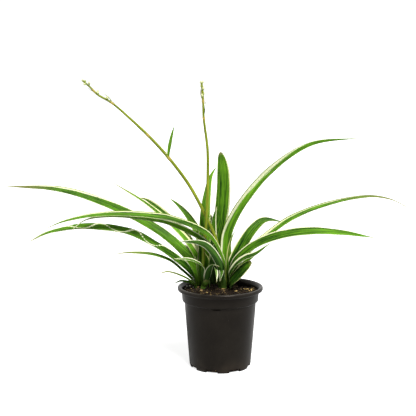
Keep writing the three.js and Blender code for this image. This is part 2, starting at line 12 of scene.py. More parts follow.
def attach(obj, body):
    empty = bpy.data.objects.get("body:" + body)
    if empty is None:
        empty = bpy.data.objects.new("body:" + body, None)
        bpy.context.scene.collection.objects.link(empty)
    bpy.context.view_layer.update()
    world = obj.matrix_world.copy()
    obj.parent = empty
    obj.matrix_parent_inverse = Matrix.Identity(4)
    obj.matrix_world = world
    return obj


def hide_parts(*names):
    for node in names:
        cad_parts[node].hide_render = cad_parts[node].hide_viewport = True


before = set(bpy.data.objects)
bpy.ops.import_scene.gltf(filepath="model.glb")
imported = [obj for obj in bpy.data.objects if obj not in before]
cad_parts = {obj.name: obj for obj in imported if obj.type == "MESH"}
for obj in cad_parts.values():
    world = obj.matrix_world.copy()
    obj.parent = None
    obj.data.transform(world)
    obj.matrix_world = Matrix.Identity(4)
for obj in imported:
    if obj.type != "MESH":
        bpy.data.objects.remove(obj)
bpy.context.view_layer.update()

bl_info = {
    "name": "Potted spider plant",
    "version": (1, 0, 0),
    "blender": (4, 5, 0),
    "location": "3D View > Sidebar > Spider plant",
    "description": "Builds the looks of a spider plant in a round nursery pot over its CAD frame",
    "category": "Add Mesh",
}

# Lengths are in millimetres and angles in degrees, as the part's drawing gives them, unless a note says
# otherwise. Those of the settings are in metres.
MM = 0.001

# Pot
POT_HEIGHT = 103
RIM_RADIUS = 54
COLLAR_RADIUS = 49
COLLAR_FOOT = 85  # height of the collar's lower edge
BODY_TOP_RADIUS = 45.4
BASE_RADIUS = 39
POT_WALL = 1.4
BASE_THICKNESS = 1.8
BASE_HOLLOW = 0.7  # how far the middle of the base stands clear of the ground
FOOT_BEND = 2.6  # height of the corner between base and wall
COLLAR_LEAN = 0.9  # how much the collar widens from its foot to the rim
OUTSIDE_SHARE = 0.6  # share of the outline's points within which the outside lies
POT_CREASE = 32  # edges sharper than this stay sharp
CORNER_STEPS = 5
DRAIN_COUNT = 8
DRAIN_SIZE = (14, 15, 9.2)
DRAIN_ROUNDING = 1.4
FIRST_DRAIN = -62  # so that one hole faces the front, to the right of the middle
DENT = {"angle": -96, "spread": 8, "height": 83.2, "reach": 1.6, "depth": 1.3}

# Soil
SOIL_LEVEL = 101.6
SOIL_EDGE = 45.9
SOIL_EDGE_DROP = 1.6  # fall of the soil in its last few millimetres before the wall
SOIL_EDGE_WIDTH = 7
HOLLOW = {"x": 34, "y": 22, "reach": 28, "floor": 13, "depth": 11}  # where the soil has sunk
HEAP_HEIGHT = 1.1  # of the soil against a crown
HEAP_SPREAD = 190  # square of the heap's reach
LUMP_HEIGHT = 0.9
# The soil's outline below its top: radius and height
SOIL_OUTLINE = [(37.4, 2.2), (38.2, 4.2), (SOIL_EDGE - 2.4, COLLAR_FOOT - 1), (SOIL_EDGE, COLLAR_FOOT + 2.4)]
SOIL_SIDES = 150
SOIL_RINGS = 58
SOIL_RING_PITCH = 0.78
LUMP_UNEVENNESS = 0.45
CRUMB_SIZE = 0.45
CRUMB_SPREAD = 0.62  # the larger it is, the more the crumbs differ in size
CRUMB_LARGEST = 2.3
CRUMB_REACH = 46.3  # how far from the middle the crumbs lie
CHIP_REACH = 44
POT_INSIDE = 46.4  # radius of the pot's inside at the soil
SOIL_KIND, CHIP_KIND, GRAIN_KIND = range(3)

# Crowns
CROWN_RADIUS = 12.9
CROWN_DEPTH = 16  # how far a crown goes down into the soil
CROWN_TOP = 101.2
CROWN_SIDES = 72
CROWN_UNEVENNESS = 0.02
FIT_GAP = 0.3
INNER_RING = 3  # radius of the innermost ring of leaf bases
RING_PITCH = 1.5
LEFT = (-22, -4)
RIGHT = (6, -5)
BACK = (-8, 20)
# A crown's outline from its foot: share of its radius, and height from its top
CROWN_OUTLINE = [
    (0.55, -CROWN_DEPTH), (0.72, -CROWN_DEPTH + 1), (0.9, -CROWN_DEPTH + 5), (0.96, -CROWN_DEPTH + 9),
    (0.985, -5), (0.97, -4.4), (0.99, -3.8), (0.985, -2.6), (0.965, -2.1), (0.985, -1.5), (0.96, -0.5),
    *((0.9 - 0.075 * k, -0.1 + 0.02 * k) for k in range(12)),
]

# Curves
STEPS_PER_SPAN = 48  # between two stations
TANGENT_REACH = 0.6  # to each side of a place, to find its direction
STEM_CREASE = 50

# Leaves
BASE_HALF_WIDTH = 3.1
TIP_HALF_WIDTH = 0.16
SHEATH_HEIGHT = 10  # how far the innermost leaves stand straight up, one less for each ring outward
MID_FOLD = 24  # how far each half of a leaf is folded up in its lower part
TIP_FOLD = 9
FULL_WIDTH_FROM = 38  # length of leaf in which it widens from its base
STRIPES_FROM = 34  # length of leaf in which its stripes begin
WIDTH_UNEVENNESS = 0.03
EDGE_UNEVENNESS = 0.5  # how far a blade's edges stray up and down
WAVE_RATE = 26  # how fast the waves of a ruffled edge follow one another
WANDER_RATE = 36  # how fast a wandering stripe crosses the blade and comes back
WANDER_START = 0.28
STRIPE_AT_TIP = 0.25  # share of its width that a stripe keeps where the leaf ends in a point
NO_STRIPE = 0.01  # width of a stripe that is left out
PLAIN = 9  # far from any edge line
LEAF_COLUMNS = 17
LEAST_ROWS = 14
KEEL_WIDTH = 0.16  # share of a leaf's half width in which the fold along its midrib is rounded
LEAF_CREASE = 45

# Flower stalks
STALK_SIDES = 16
STALK_ROW = 1.4
STALK_BEND = 0.6  # share of its length from which a stalk thins towards its tip
STALK_FULLNESS = 1.22  # how much thicker than the CAD stalk it is
NODE_SWELLING = 0.22
NODE_LENGTH = 2.4
BRACT_FOLD = (50, 12)  # how far each half is folded up, at its foot and from its middle on
BRACT_THICKNESS = 0.42
BRACT_TIP_HALF_WIDTH = 0.12
BRACT_ROWS = 26
BRACT_COLUMNS = 9
BUD_SIDES = 18
BUD_ROWS = 20
BUD_PETALS = 6
BUD_RIDGE = 0.07  # height of a petal's ridge, as a share of the bud's radius
BUD_RADIUS = 1.45
BUD_TIP_RADIUS = 0.12
BUD_STEM_RADIUS = 0.46
BUD_STEM = 0.36  # share of a bud's length that is its stem
STALK_KIND, BRACT_KIND, BUD_KIND = range(3)


class Leaf(NamedTuple):
    """A leaf. Numbers in brackets follow one another from its base to its tip."""

    name: str
    crown: tuple
    ring: int  # counted outward from the middle of the crown
    facing: float  # the way that its base faces, from +X
    width: float
    turn: tuple  # how far its upper face is rolled towards the front, in its lower part and at its tip
    path: tuple  # the points that its midrib passes through after its base
    shade: tuple  # from dark green at 0 to light green at 1: the leaf's own tone, partly painted shade in its low values near the crown, and on leaf_left_dark painted light where leaf_left_arched shadows it
    margins: tuple  # widths of its pale edge stripes: of a leaf that points left, the upper one first
    gold: float = 0.3  # from white stripes at 0 to yellow ones at 1
    hem: tuple = ((0,), (0,))  # widths of the green line outside each stripe
    lean: float = 0  # how much lighter one half of the blade is than the other: partly its own colour, partly painted shade on one half of its fold
    wander: float = 0  # how far the first stripe crosses the blade in waves
    dry: float = 6  # length of its dried tip
    spread: float = 1  # width of its blade against that of the CAD
    taper: float = 3.4  # the larger it is, the nearer to the tip the leaf keeps its width
    blunt: float = 0  # the larger it is, the wider is its round tip, and 0 gives a pointed one
    ruffle: float = 0  # height of the waves along its edges


class Bract(NamedTuple):
    """A small leaf on a stalk. It leans away from there by "to", on a way that is bent by "bow"."""

    at: float  # share of the stalk's length
    width: float
    to: tuple
    bow: tuple
    turn: float
    dry: float  # from fresh at 0 to papery at 1


class Bud(NamedTuple):
    """A flower bud on a stalk, which points along "to"."""

    at: float
    length: float
    to: tuple


class Stalk(NamedTuple):
    """A flower stalk, with its widths at its foot, where it bends and at its tip."""

    name: str
    crown: tuple
    widths: tuple
    path: tuple
    bracts: tuple
    buds: tuple


# Crown, ring, facing, width, turn, path, blunt and ruffle are those of the CAD leaf. So is taper, except on
# leaf_left_dark, which narrows sooner here.
LEAVES = [
    Leaf("leaf_left_long", LEFT, 3, 172, 16, (40, 45), gold=0.25, dry=80, shade=(0.9, 0.5, 0.32, 0.3, 0.35),
         margins=((0.5, 0.6, 0.7, 0.7, 0.8, 1.2, 2.4, 4, 3.4, 1.2, 0.5), (0.4, 0.8, 0.6)),
         hem=((0, 0, 0, 0, 0, 0, 0.4, 1.3, 1.6, 0, 0), (0, 0)),
         path=((-33, -2, 129), (-52, 4, 151), (-90, 12, 178), (-153, 24, 207), (-205, 30, 222),
               (-278, 34, 226))),
    Leaf("leaf_left_upper", LEFT, 2, 145, 14, (15, 20), gold=0.5, taper=1.5, dry=45,
         shade=(0.9, 0.7, 0.6, 0.7), margins=((0.8, 2.4, 3.2, 1.6, 0.6), (0.5, 1.9, 2.2, 1.2)),
         path=((-28, 5, 133), (-44, 11, 160), (-61, 18, 177), (-95, 34, 203.5), (-143, 47, 231.5))),
    Leaf("leaf_left_behind", LEFT, 3, 116, 13, (10, 30), gold=0.5, shade=(0.2, 0.4, 0.35),
         margins=((0.8, 2.4, 2.6), (0.5, 0.8)),
         path=((-27, 9, 132), (-38, 18, 154), (-58, 28, 177), (-80, 40, 197), (-96, 49, 207),
               (-108, 57, 209))),
    Leaf("leaf_left_broad", LEFT, 1, 115, 12, (10, 30), gold=0.4, lean=0.2, shade=(0.1, 0.35, 0.5),
         margins=((0.6, 1, 1), (0.4, 0.6)),
         path=((-23, 4, 142), (-26.5, 8, 165), (-39, 14, 188), (-53, 21, 203), (-66, 28, 212))),
    Leaf("leaf_upright_left", LEFT, 0, 85, 15, (0, 0), gold=0.5, taper=2.4, spread=1.22, lean=-0.25,
         shade=(0.2, 0.6, 0.7, 0.6), margins=((0.9, 0.8), (0.3, 0.5)),
         path=((-20, 1, 149), (-19.5, 3, 177), (-18.5, 7, 199), (-16.5, 13, 217), (-12, 24, 239),
               (-4, 36, 252))),
    Leaf("leaf_left_curled", LEFT, 4, 192, 14, (30, 35), gold=0.15, ruffle=1.6, wander=0.8, dry=32,
         shade=(0.05, 0.25, 0.45, 0.7), margins=((0.5, 1.3, 1.3), (0.5, 0.9, 0.9)),
         path=((-34, -8, 117), (-43, -14, 130), (-62, -22, 146), (-95, -32, 169), (-134, -40, 183),
               (-175, -46, 185), (-208, -51, 179), (-232, -54, 167))),
    Leaf("leaf_left_thin", LEFT, 5, 206, 6.5, (30, 30), gold=0.4, spread=1.3, dry=60, shade=(0.3, 0.5, 0.5),
         margins=((0.3, 0.6, 0.5), (0.3, 0.5)),
         path=((-35, -11, 113), (-48, -18, 126), (-62, -23, 139), (-75, -28, 146), (-88, -32, 150),
               (-110, -40, 153), (-129, -44, 152))),
    Leaf("leaf_left_short", LEFT, 6, 214, 4.5, (25, 25), gold=0.4, spread=1.3, dry=50,
         shade=(0.3, 0.6, 0.7), margins=((0.3, 0.6, 0.6), (0.3, 0.5)),
         path=((-39, -18, 114), (-48, -23, 120), (-57, -28, 125), (-66, -31, 127.5), (-77, -34, 125))),
    Leaf("leaf_left_over_rim", LEFT, 6, 180, 6, (25, 10), gold=0.8, shade=(0.1, 0.8, 0.9),
         margins=((0.3, 0.4), (0.3, 0.3)),
         path=((-41, -4, 108), (-50, -5, 110), (-59, -8, 107))),
    Leaf("leaf_front_low", LEFT, 1, 250, 10, (45, 50), gold=0.12, shade=(0, 0.15, 0.3, 0.4),
         margins=((0.6, 1.6, 1.8, 1.6), (0.6, 1.1, 1.1)),
         path=((-24, -14, 120), (-23, -19, 131), (-28, -25, 137), (-38, -31, 142.5), (-57, -40, 145.5))),
    Leaf("leaf_front_dark", LEFT, 2, 290, 11, (0, 0), gold=0.05, shade=(0, 0, 0.1),
         margins=((0.2, 0.9, 0.9), (0.2, 0.9, 0.9)),
         path=((-17, -17, 113), (-15, -22, 123), (-13, -29, 131.5), (-9, -35, 137), (-2, -41, 136))),
    Leaf("leaf_middle_small", LEFT, 4, 345, 4, (0, 0), gold=0.8, shade=(0.9, 1, 0.9),
         margins=((0.3, 0.9), (0.3, 0.9)),
         path=((-15, -10, 122), (-14, -12, 139), (-20, -14, 149))),
    Leaf("leaf_front_stub", LEFT, 6, 275, 8, (0, 0), gold=0.6, blunt=0.35, shade=(0.5, 0.5, 0.4),
         margins=((0.3, 0.3), (0.3, 0.3)),
         path=((-19, -18, 108), (-17.5, -20, 115))),
    Leaf("leaf_left_arched", RIGHT, 1, 210, 15, (35, 35), gold=0.35, dry=20,
         shade=(0.7, 0.35, 0.15, 0.4, 0.5, 0.55),
         margins=((0.5, 0.9, 0.9, 1.1, 1.8, 2.2, 2.6, 2.8, 2.6, 1.8, 0.8), (0.5, 0.9, 0.9)),
         hem=((0, 0, 0, 0.2, 0.9, 1.2, 1.5, 1.6, 1.2, 0, 0), (0, 0)),
         path=((4, -12, 129), (-1, -14, 145), (-7, -17, 157.5), (-15, -21, 169), (-27, -26, 178),
               (-53, -33, 190), (-74, -38, 196), (-138, -54, 202), (-185, -63, 195), (-208, -67, 186))),
    # Its outer shades above 1 paint light into the shadow that leaf_left_arched casts on it.
    Leaf("leaf_left_dark", RIGHT, 2, 192, 13, (30, 35), gold=0.12, ruffle=0.9, taper=1.7,
         shade=(0.1, 0.45, 1.3, 1.5, 1.5), margins=((0.6, 1.8, 2.6, 3.2, 3), (0.4, 0.8, 1.2, 1.8, 1.8)),
         path=((-4, -9, 138), (-22, -18, 163), (-62, -27, 186), (-122, -43, 198), (-162, -56, 195),
               (-178, -62, 183))),
    Leaf("leaf_front_left", RIGHT, 3, 240, 11, (-45, -50), gold=0.03, shade=(0, 0.05, 0.15, 0.25),
         margins=((0.3, 0.5, 0.7, 0.8), (0.4, 1, 1.3, 1.5)),
         path=((1, -19, 130), (-4, -24, 142), (-11, -29, 153.5), (-19, -34, 161.5), (-30, -40, 166),
               (-50, -52, 168.5))),
    Leaf("leaf_front_drooping", RIGHT, 4, 213, 8, (0, 0), gold=0.03, shade=(0.1, 0.3, 0.8, 0.8),
         margins=((0.4, 1, 1.2), (0.4, 1.2, 2.6)),
         path=((-5, -17, 119), (-6.5, -24, 128), (-6.5, -31, 131), (-5, -38, 127), (-5, -44, 117))),
    Leaf("leaf_front_looped", RIGHT, 5, 262, 8, (0, 0), gold=0.03, shade=(0, 0, 0),
         margins=((0.2, 0.5, 0.5), (0.2, 0.5, 0.5)),
         path=((2, -20, 118), (1, -27, 128), (1, -36, 127), (-1, -42, 118))),
    Leaf("leaf_right_tall", RIGHT, 0, 80, 18, (30, 20), gold=0.15, taper=1.5, lean=0.3, dry=16,
         shade=(0.45, 0.75, 0.7, 0.5), margins=((0.5, 0.6), (1, 3.2, 5, 6.2, 7.5, 8, 5.5, 1.5, 0.6, 0.5)),
         hem=((0, 0), (0, 0.8, 1.3, 1.4, 1.5, 1.5, 1.2, 0, 0, 0)),
         path=((5.8, 3.8, 138), (7, 4.5, 168), (15.5, 3.5, 190), (28, 4, 210.5), (61, 9, 248),
               (112.5, 16, 281), (178, 23, 288.5))),
    Leaf("leaf_right_narrow", RIGHT, 1, 335, 7, (58, 45), gold=0.85, shade=(0.9, 0.95, 0.7, 0.15),
         margins=((0.4, 0.7, 0.4), (0.8, 1.8, 0.9)),
         path=((9.5, -12, 132), (11, -13, 152), (14, -12, 166), (18, -7, 173), (24, 0, 176))),
    Leaf("leaf_right_broad", RIGHT, 2, 40, 15, (30, 0), gold=0.5, spread=1.18, lean=-0.12,
         shade=(0.1, 0.22, 0.35, 0.35), margins=((0.5, 0.8, 0.6), (0.6, 1.3, 0.8, 0.5)),
         path=((17.3, 0, 131), (27.5, 1, 153), (42.5, 6, 175), (55.5, 14, 184.5), (76, 28, 181),
               (92, 38, 174))),
    Leaf("leaf_right_long", RIGHT, 3, 34, 10.5, (35, 25), gold=0.35, taper=2, dry=120,
         shade=(0.3, 0.55, 0.45, 0.35, 0.3),
         margins=((0.5, 0.5), (0.4, 1.2, 2.2, 3, 3, 2.6, 2.4, 2, 0.6, 0.4, 0.3)),
         hem=((0, 0), (0, 0, 0.3, 0.8, 1.3, 1.5, 1.6, 1.4, 0.6, 0, 0)),
         path=((17, 2, 127), (30, 5, 142), (53, 8, 161), (89, 14, 186.5), (140, 24, 205), (193, 33, 213),
               (221, 35, 208.5), (248, 36, 195))),
    Leaf("leaf_right_wide", RIGHT, 3, 336, 17.5, (40, 45), lean=-0.1, dry=12, shade=(0, 0.25, 0.6, 0.7),
         margins=((0.6, 1.5, 0.9, 0.5), (0.7, 1.5, 1, 0.5)),
         path=((17, -13, 131), (37, -18, 152.5), (67, -26, 169), (109, -34, 178), (151, -38, 176.5),
               (186, -42, 171.5))),
    Leaf("leaf_right_lower", RIGHT, 4, 318, 13, (50, 40), gold=0.2, shade=(0, 0, 0.05, 0.35),
         margins=((0.5, 1, 0.9), (0.9, 2.4, 2.4, 1.8)),
         path=((12.4, -22.6, 121), (20, -29, 136), (30, -35, 145.5), (42, -40, 151.5), (60, -46, 166))),
    Leaf("leaf_right_thin", RIGHT, 5, 335, 10, (55, 40), shade=(0.15, 0.6, 0.75),
         margins=((0.3, 0.8, 0.8), (0.4, 1.1, 1)),
         path=((18, -15, 118), (26, -20, 130.5), (34, -25, 141), (43, -28, 149), (52, -31, 155))),
    Leaf("leaf_right_blunt", RIGHT, 6, 312, 17, (62, 62), gold=0.7, blunt=0.45, lean=0.15,
         shade=(0.6, 0.15, 0, 0.1, 0.5), margins=((0.3, 0.5, 0.9, 1.3), (0.3, 0.5, 0.9, 1.3)),
         path=((12, -21, 109), (20, -28.5, 120), (28, -34, 131), (37.5, -38, 141))),
    Leaf("leaf_upright_short", BACK, 0, 100, 12, (0, 0), shade=(0, 0.1, 0.15),
         margins=((0.6, 1.6, 1.6), (0.4, 0.5)),
         path=((-9, 20, 146), (-9, 21, 165), (-8, 24, 182), (-6, 28, 194), (-4, 31, 200))),
    Leaf("leaf_upright_right", BACK, 1, 75, 20, (0, 0), gold=0.45, blunt=0.2, lean=-0.18,
         shade=(0, 0.2, 0.45, 0.45), margins=((0.8, 2.6, 2.2, 1.4), (0.3, 0.6)),
         path=((-4, 33, 150), (2, 36, 184), (5, 38, 222), (4, 42, 250), (0.5, 46, 269))),
    Leaf("leaf_middle_left", BACK, 3, 215, 15, (0, 0), gold=0.4, shade=(0.1, 0.25, 0.4),
         margins=((0.3, 0.7, 0.7), (0.3, 0.7, 0.7)),
         path=((-18.5, 14.2, 120), (-19, 14, 138), (-18.5, 15, 156), (-17, 17.5, 169))),
    Leaf("leaf_middle_right", BACK, 3, 300, 14, (0, 0), gold=0.4, shade=(0, 0.05, 0.15),
         margins=((0.2, 0.4, 0.4), (0.2, 0.4, 0.4)),
         path=((-5, 13.5, 124), (-5.5, 14.5, 140), (-5, 15.5, 156), (-4, 17, 167))),
    Leaf("leaf_middle_short", BACK, 4, 268, 11, (0, 0), gold=0.4, shade=(0, 0.1, 0.2),
         margins=((0.2, 0.6, 0.6), (0.2, 0.5, 0.5)),
         path=((-9.8, 8.8, 120), (-9.5, 8.5, 134), (-9.5, 9.5, 148))),
    Leaf("leaf_back_tall", BACK, 3, 90, 13, (0, 0), dry=12, shade=(0.1, 0.4, 0.5),
         margins=((0.5, 1.3, 1.3), (0.5, 1.3, 1.3)),
         path=((-6, 36, 140), (-2, 47, 182), (3, 68, 222), (4, 100, 238), (5, 136, 224), (6, 158, 200))),
    Leaf("leaf_back_middle", BACK, 4, 96, 13, (0, 0), dry=12, shade=(0.1, 0.5, 0.5),
         margins=((0.5, 1.1, 1.1), (0.5, 1.4, 1.4)),
         path=((-10, 38, 138), (-12, 52, 164), (-16, 82, 180), (-20, 118, 168), (-22, 146, 140))),
    Leaf("leaf_back_left", BACK, 2, 140, 12, (0, 0), dry=12, shade=(0, 0.4, 0.5),
         margins=((0.5, 1.2, 1.2), (0.5, 1.2, 1.2)),
         path=((-26, 30, 126), (-41, 38, 140), (-63, 50, 152), (-93, 72, 170), (-124, 94, 183))),
    Leaf("leaf_back_right", BACK, 2, 60, 11, (0, 0), gold=0.4, shade=(0, 0.3, 0.4),
         margins=((0.5, 1.2, 1.2), (0.5, 1, 1)),
         path=((16, 32, 131), (24, 46, 144), (31, 64, 152), (40, 85, 158), (45, 104, 158))),
    Leaf("leaf_back_left_low", BACK, 4, 165, 11, (0, 0), gold=0.4, dry=12, shade=(0, 0.5, 0.5),
         margins=((0.5, 1, 1), (0.5, 1.3, 1.3)),
         path=((-31, 26, 116), (-47, 34, 126), (-68, 48, 139), (-99, 72, 149), (-136, 98, 159))),
    Leaf("leaf_back_right_low", BACK, 4, 15, 12, (0, 0), dry=12, shade=(0, 0.4, 0.5),
         margins=((0.5, 1.2, 1.2), (0.5, 1.2, 1.2)),
         path=((17, 22, 118), (39, 31, 140), (63, 47, 154), (103, 76, 158), (141, 100, 154))),
    Leaf("leaf_back_drooping", BACK, 5, 110, 11, (0, 0), shade=(0, 0.4, 0.45),
         margins=((0.5, 1.1, 1.1), (0.5, 1.1, 1.1)),
         path=((-16, 38, 118), (-22, 52, 133), (-26, 80, 132), (-31, 110, 112))),
]

STALKS = [
    Stalk("flower_stalk_left", RIGHT, (3.6, 3.2, 1.7),
          path=((6, -5, 122), (4, -4, 134), (-1.5, -4, 150), (-8.5, -4, 171), (-19, -4, 194),
                (-38, -4, 230), (-62, -6, 263), (-87, -7, 291), (-110, -8, 313), (-133, -9, 333),
                (-150, -9, 343), (-159, -10, 352), (-168, -10, 360)),
          bracts=(Bract(0.56, 5.4, (7, -6, 41), (-1, -2, 14), turn=70, dry=0),
                  Bract(0.68, 4.4, (-19, -1, 18), (-10, -1, 5), turn=0, dry=0.35),
                  Bract(0.86, 3.2, (-9, -1, 11), (0, 0, 5), turn=0, dry=0.5),
                  Bract(0.945, 2.6, (-6, -2, 3), (-1, 0, -2), turn=0, dry=0.5)),
          buds=(Bud(0.57, 7, (-0.3, -0.4, 1)), Bud(0.875, 7, (-0.5, -0.5, 1)), Bud(0.915, 7, (-0.5, -0.4, 1)),
                Bud(0.925, 6, (0.1, 0.6, 1)), Bud(0.965, 7, (-0.1, -0.3, 1)), Bud(0.975, 6, (-1, -0.5, 0.3)),
                Bud(0.985, 5, (-0.3, 0.6, 1)), Bud(0.99, 5, (-1, 0.2, 0.9)))),
    Stalk("flower_stalk_upright", LEFT, (3.4, 3, 2),
          path=((-22, -5, 125), (-20, -8, 160), (-17, -10, 195), (-16, -8, 226), (-16, -8, 275),
                (-19.5, -8, 304), (-21, -8, 318), (-21.5, -8, 335), (-22.5, -8, 350), (-23.5, -8, 358)),
          bracts=(Bract(0.83, 4.2, (2, -2, 20), (2, -2, 8), turn=40, dry=0.1),
                  Bract(0.91, 3.4, (-3, -1, 15), (-2, 0, 6), turn=40, dry=0.8)),
          buds=(Bud(0.915, 9, (-0.2, -0.2, 1)), Bud(0.925, 9, (0.1, 0.3, 1)), Bud(0.95, 8, (0.15, -0.2, 1)),
                Bud(0.965, 7, (-0.25, 0.1, 1)), Bud(0.985, 6, (0.2, 0.1, 1)),
                Bud(0.985, 6, (-0.3, -0.2, 1)))),
]

# Bark chips and white grains that the front view shows: place on the soil, size and, for the chips, tone
BARK_CHIPS = [
    (39, -17.5, 2, 1), (33.5, -15, 1.3, 0.85), (29.5, -14, 1.1, 0.8), (26, -16.5, 1, 0.65),
    (13.4, -9.5, 1.2, 0.75), (19.2, -25.4, 1.3, 0.75), (3.6, -19.5, 1.2, 0.9), (-28.1, -8, 1, 0.75),
    (-16.7, -33.6, 1.2, 1), (5.6, -26, 0.9, 0.6), (24.3, -22, 1, 0.7), (36, -22, 0.9, 0.6),
]
PERLITE_GRAINS = [(-42, 1, 1.2), (-43.8, -4, 0.9), (-38.3, 0.5, 1.1), (-34, -7, 0.7)]

# Camera, as the photograph was taken, in metres
CAMERA_PLACE = (-0.0155, -1.1, 0.35)
CAMERA_TILT = 82.35
CAMERA_LENS = 76.8
CAMERA_SENSOR = 36
KEY_DIRECTION = (-0.3, 0.6, -0.9)
FLOOR_REACH = 2e4
FRONT_FADE = (-0.9, -0.2)  # depths of direction between which the light of the front gives way to the rest
BACKGROUND = 1.1  # strength of the white that the camera sees


# Shapes shared by the pieces
def lerp(a, b, share):
    return a + (b - a) * share


def follow(values, share):
    """The value at a share of the way through evenly spaced ones."""
    return float(np.interp(share * (len(values) - 1), range(len(values)), values))


def smoothstep(x, low, high):
    share = min(max((x - low) / (high - low), 0), 1)
    return share * share * (3 - 2 * share)


def unit(vector):
    return vector / np.linalg.norm(vector)


def spokes(sides):
    """The angle, cosine and sine of each of the points that stand evenly on a circle."""
    for i in range(sides):
        angle = 2 * math.pi * i / sides
        yield angle, math.cos(angle), math.sin(angle)


def route_points(stations):
    """Points close together on a smooth curve through the stations, with a centripetal spacing."""
    pts = [np.array(p, float) for p in stations]
    ends = [2 * pts[0] - pts[1]] + pts + [2 * pts[-1] - pts[-2]]
    points = []
    for i in range(1, len(ends) - 2):
        p0, p1, p2, p3 = ends[i - 1:i + 3]
        d0, d1, d2 = (math.sqrt(np.linalg.norm(b - a)) for a, b in ((p0, p1), (p1, p2), (p2, p3)))
        start = ((p1 - p0) / d0 - (p2 - p0) / (d0 + d1) + (p2 - p1) / d1) * d1
        end = ((p2 - p1) / d1 - (p3 - p1) / (d1 + d2) + (p3 - p2) / d2) * d1
        for step in range(STEPS_PER_SPAN):
            s = step / STEPS_PER_SPAN
            cubic = (2 * p1 - 2 * p2 + start + end) * s ** 3
            points.append(p1 + start * s + (3 * p2 - 3 * p1 - 2 * start - end) * s * s + cubic)
    points.append(pts[-1])
    return np.array(points)


class Route:
    """A curve that is walked by its length."""

    def __init__(self, points):
        self.points = points
        steps = np.linalg.norm(np.diff(points, axis=0), axis=1)
        self.run = np.concatenate([[0], np.cumsum(steps)])
        self.length = self.run[-1]

    def place(self, share):
        at = share * self.length
        return np.array([np.interp(at, self.run, self.points[:, k]) for k in range(3)])

    def along(self, share):
        reach = TANGENT_REACH / self.length
        return unit(self.place(min(share + reach, 1)) - self.place(max(share - reach, 0)))

    def frames(self, across, steps):
        """Share, place, and the directions along, across and out of the upper face, carried from the base."""
        across = np.array(across, float)
        for i in range(steps + 1):
            share = i / steps
            along = self.along(share)
            across = unit(across - along * np.dot(across, along))
            yield share, self.place(share), along, across, np.cross(along, across)


class Shell:
    """Points, faces, and the numbers that the materials read from each point."""

    def __init__(self, *marks):
        self.points = []
        self.faces = []
        self.kinds = []
        self.marks = {name: [] for name in marks}

    def add(self, point, **marks):
        self.points.append(tuple(float(c) * MM for c in point))
        for name, values in self.marks.items():
            values.append(float(marks.get(name, 0)))
        return len(self.points) - 1

    def face(self, *corners, kind=0):
        self.faces.append(tuple(dict.fromkeys(corners)))
        self.kinds.append(kind)

    def tube(self, loops, kind=0, capped=True):
        """Joins loops of point numbers that follow one another, and closes the two ends."""
        count = len(loops[0])
        for low, high in zip(loops, loops[1:]):
            for i in range(count):
                j = (i + 1) % count
                self.face(low[i], low[j], high[j], high[i], kind=kind)
        if capped:
            self.face(*reversed(loops[0]), kind=kind)
            self.face(*loops[-1], kind=kind)

    def build(self, name, materials, crease=None):
        mesh = bpy.data.meshes.new(name)
        mesh.from_pydata(self.points, [], self.faces)
        for material in materials:
            mesh.materials.append(material)
        mesh.polygons.foreach_set("material_index", self.kinds)
        for mark, values in self.marks.items():
            mesh.attributes.new(mark, "FLOAT", "POINT").data.foreach_set("value", values)
        mesh.update()
        tidy = bmesh.new()
        tidy.from_mesh(mesh)
        bmesh.ops.recalc_face_normals(tidy, faces=tidy.faces)
        tidy.to_mesh(mesh)
        tidy.free()
        mesh.shade_smooth()
        if crease:
            mesh.set_sharp_from_angle(angle=math.radians(crease))
        piece = bpy.data.objects.new(name, mesh)
        bpy.context.scene.collection.objects.link(piece)
        return piece


def dress(piece, slot, *nodes):
    """Fixes a piece to the plant's one body, in the place of its CAD nodes."""
    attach(piece, "root")
    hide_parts(*nodes)


# Materials
def rgba(colour, gain=1):
    return tuple(min(c * gain, 1) for c in colour[:3]) + (1,)


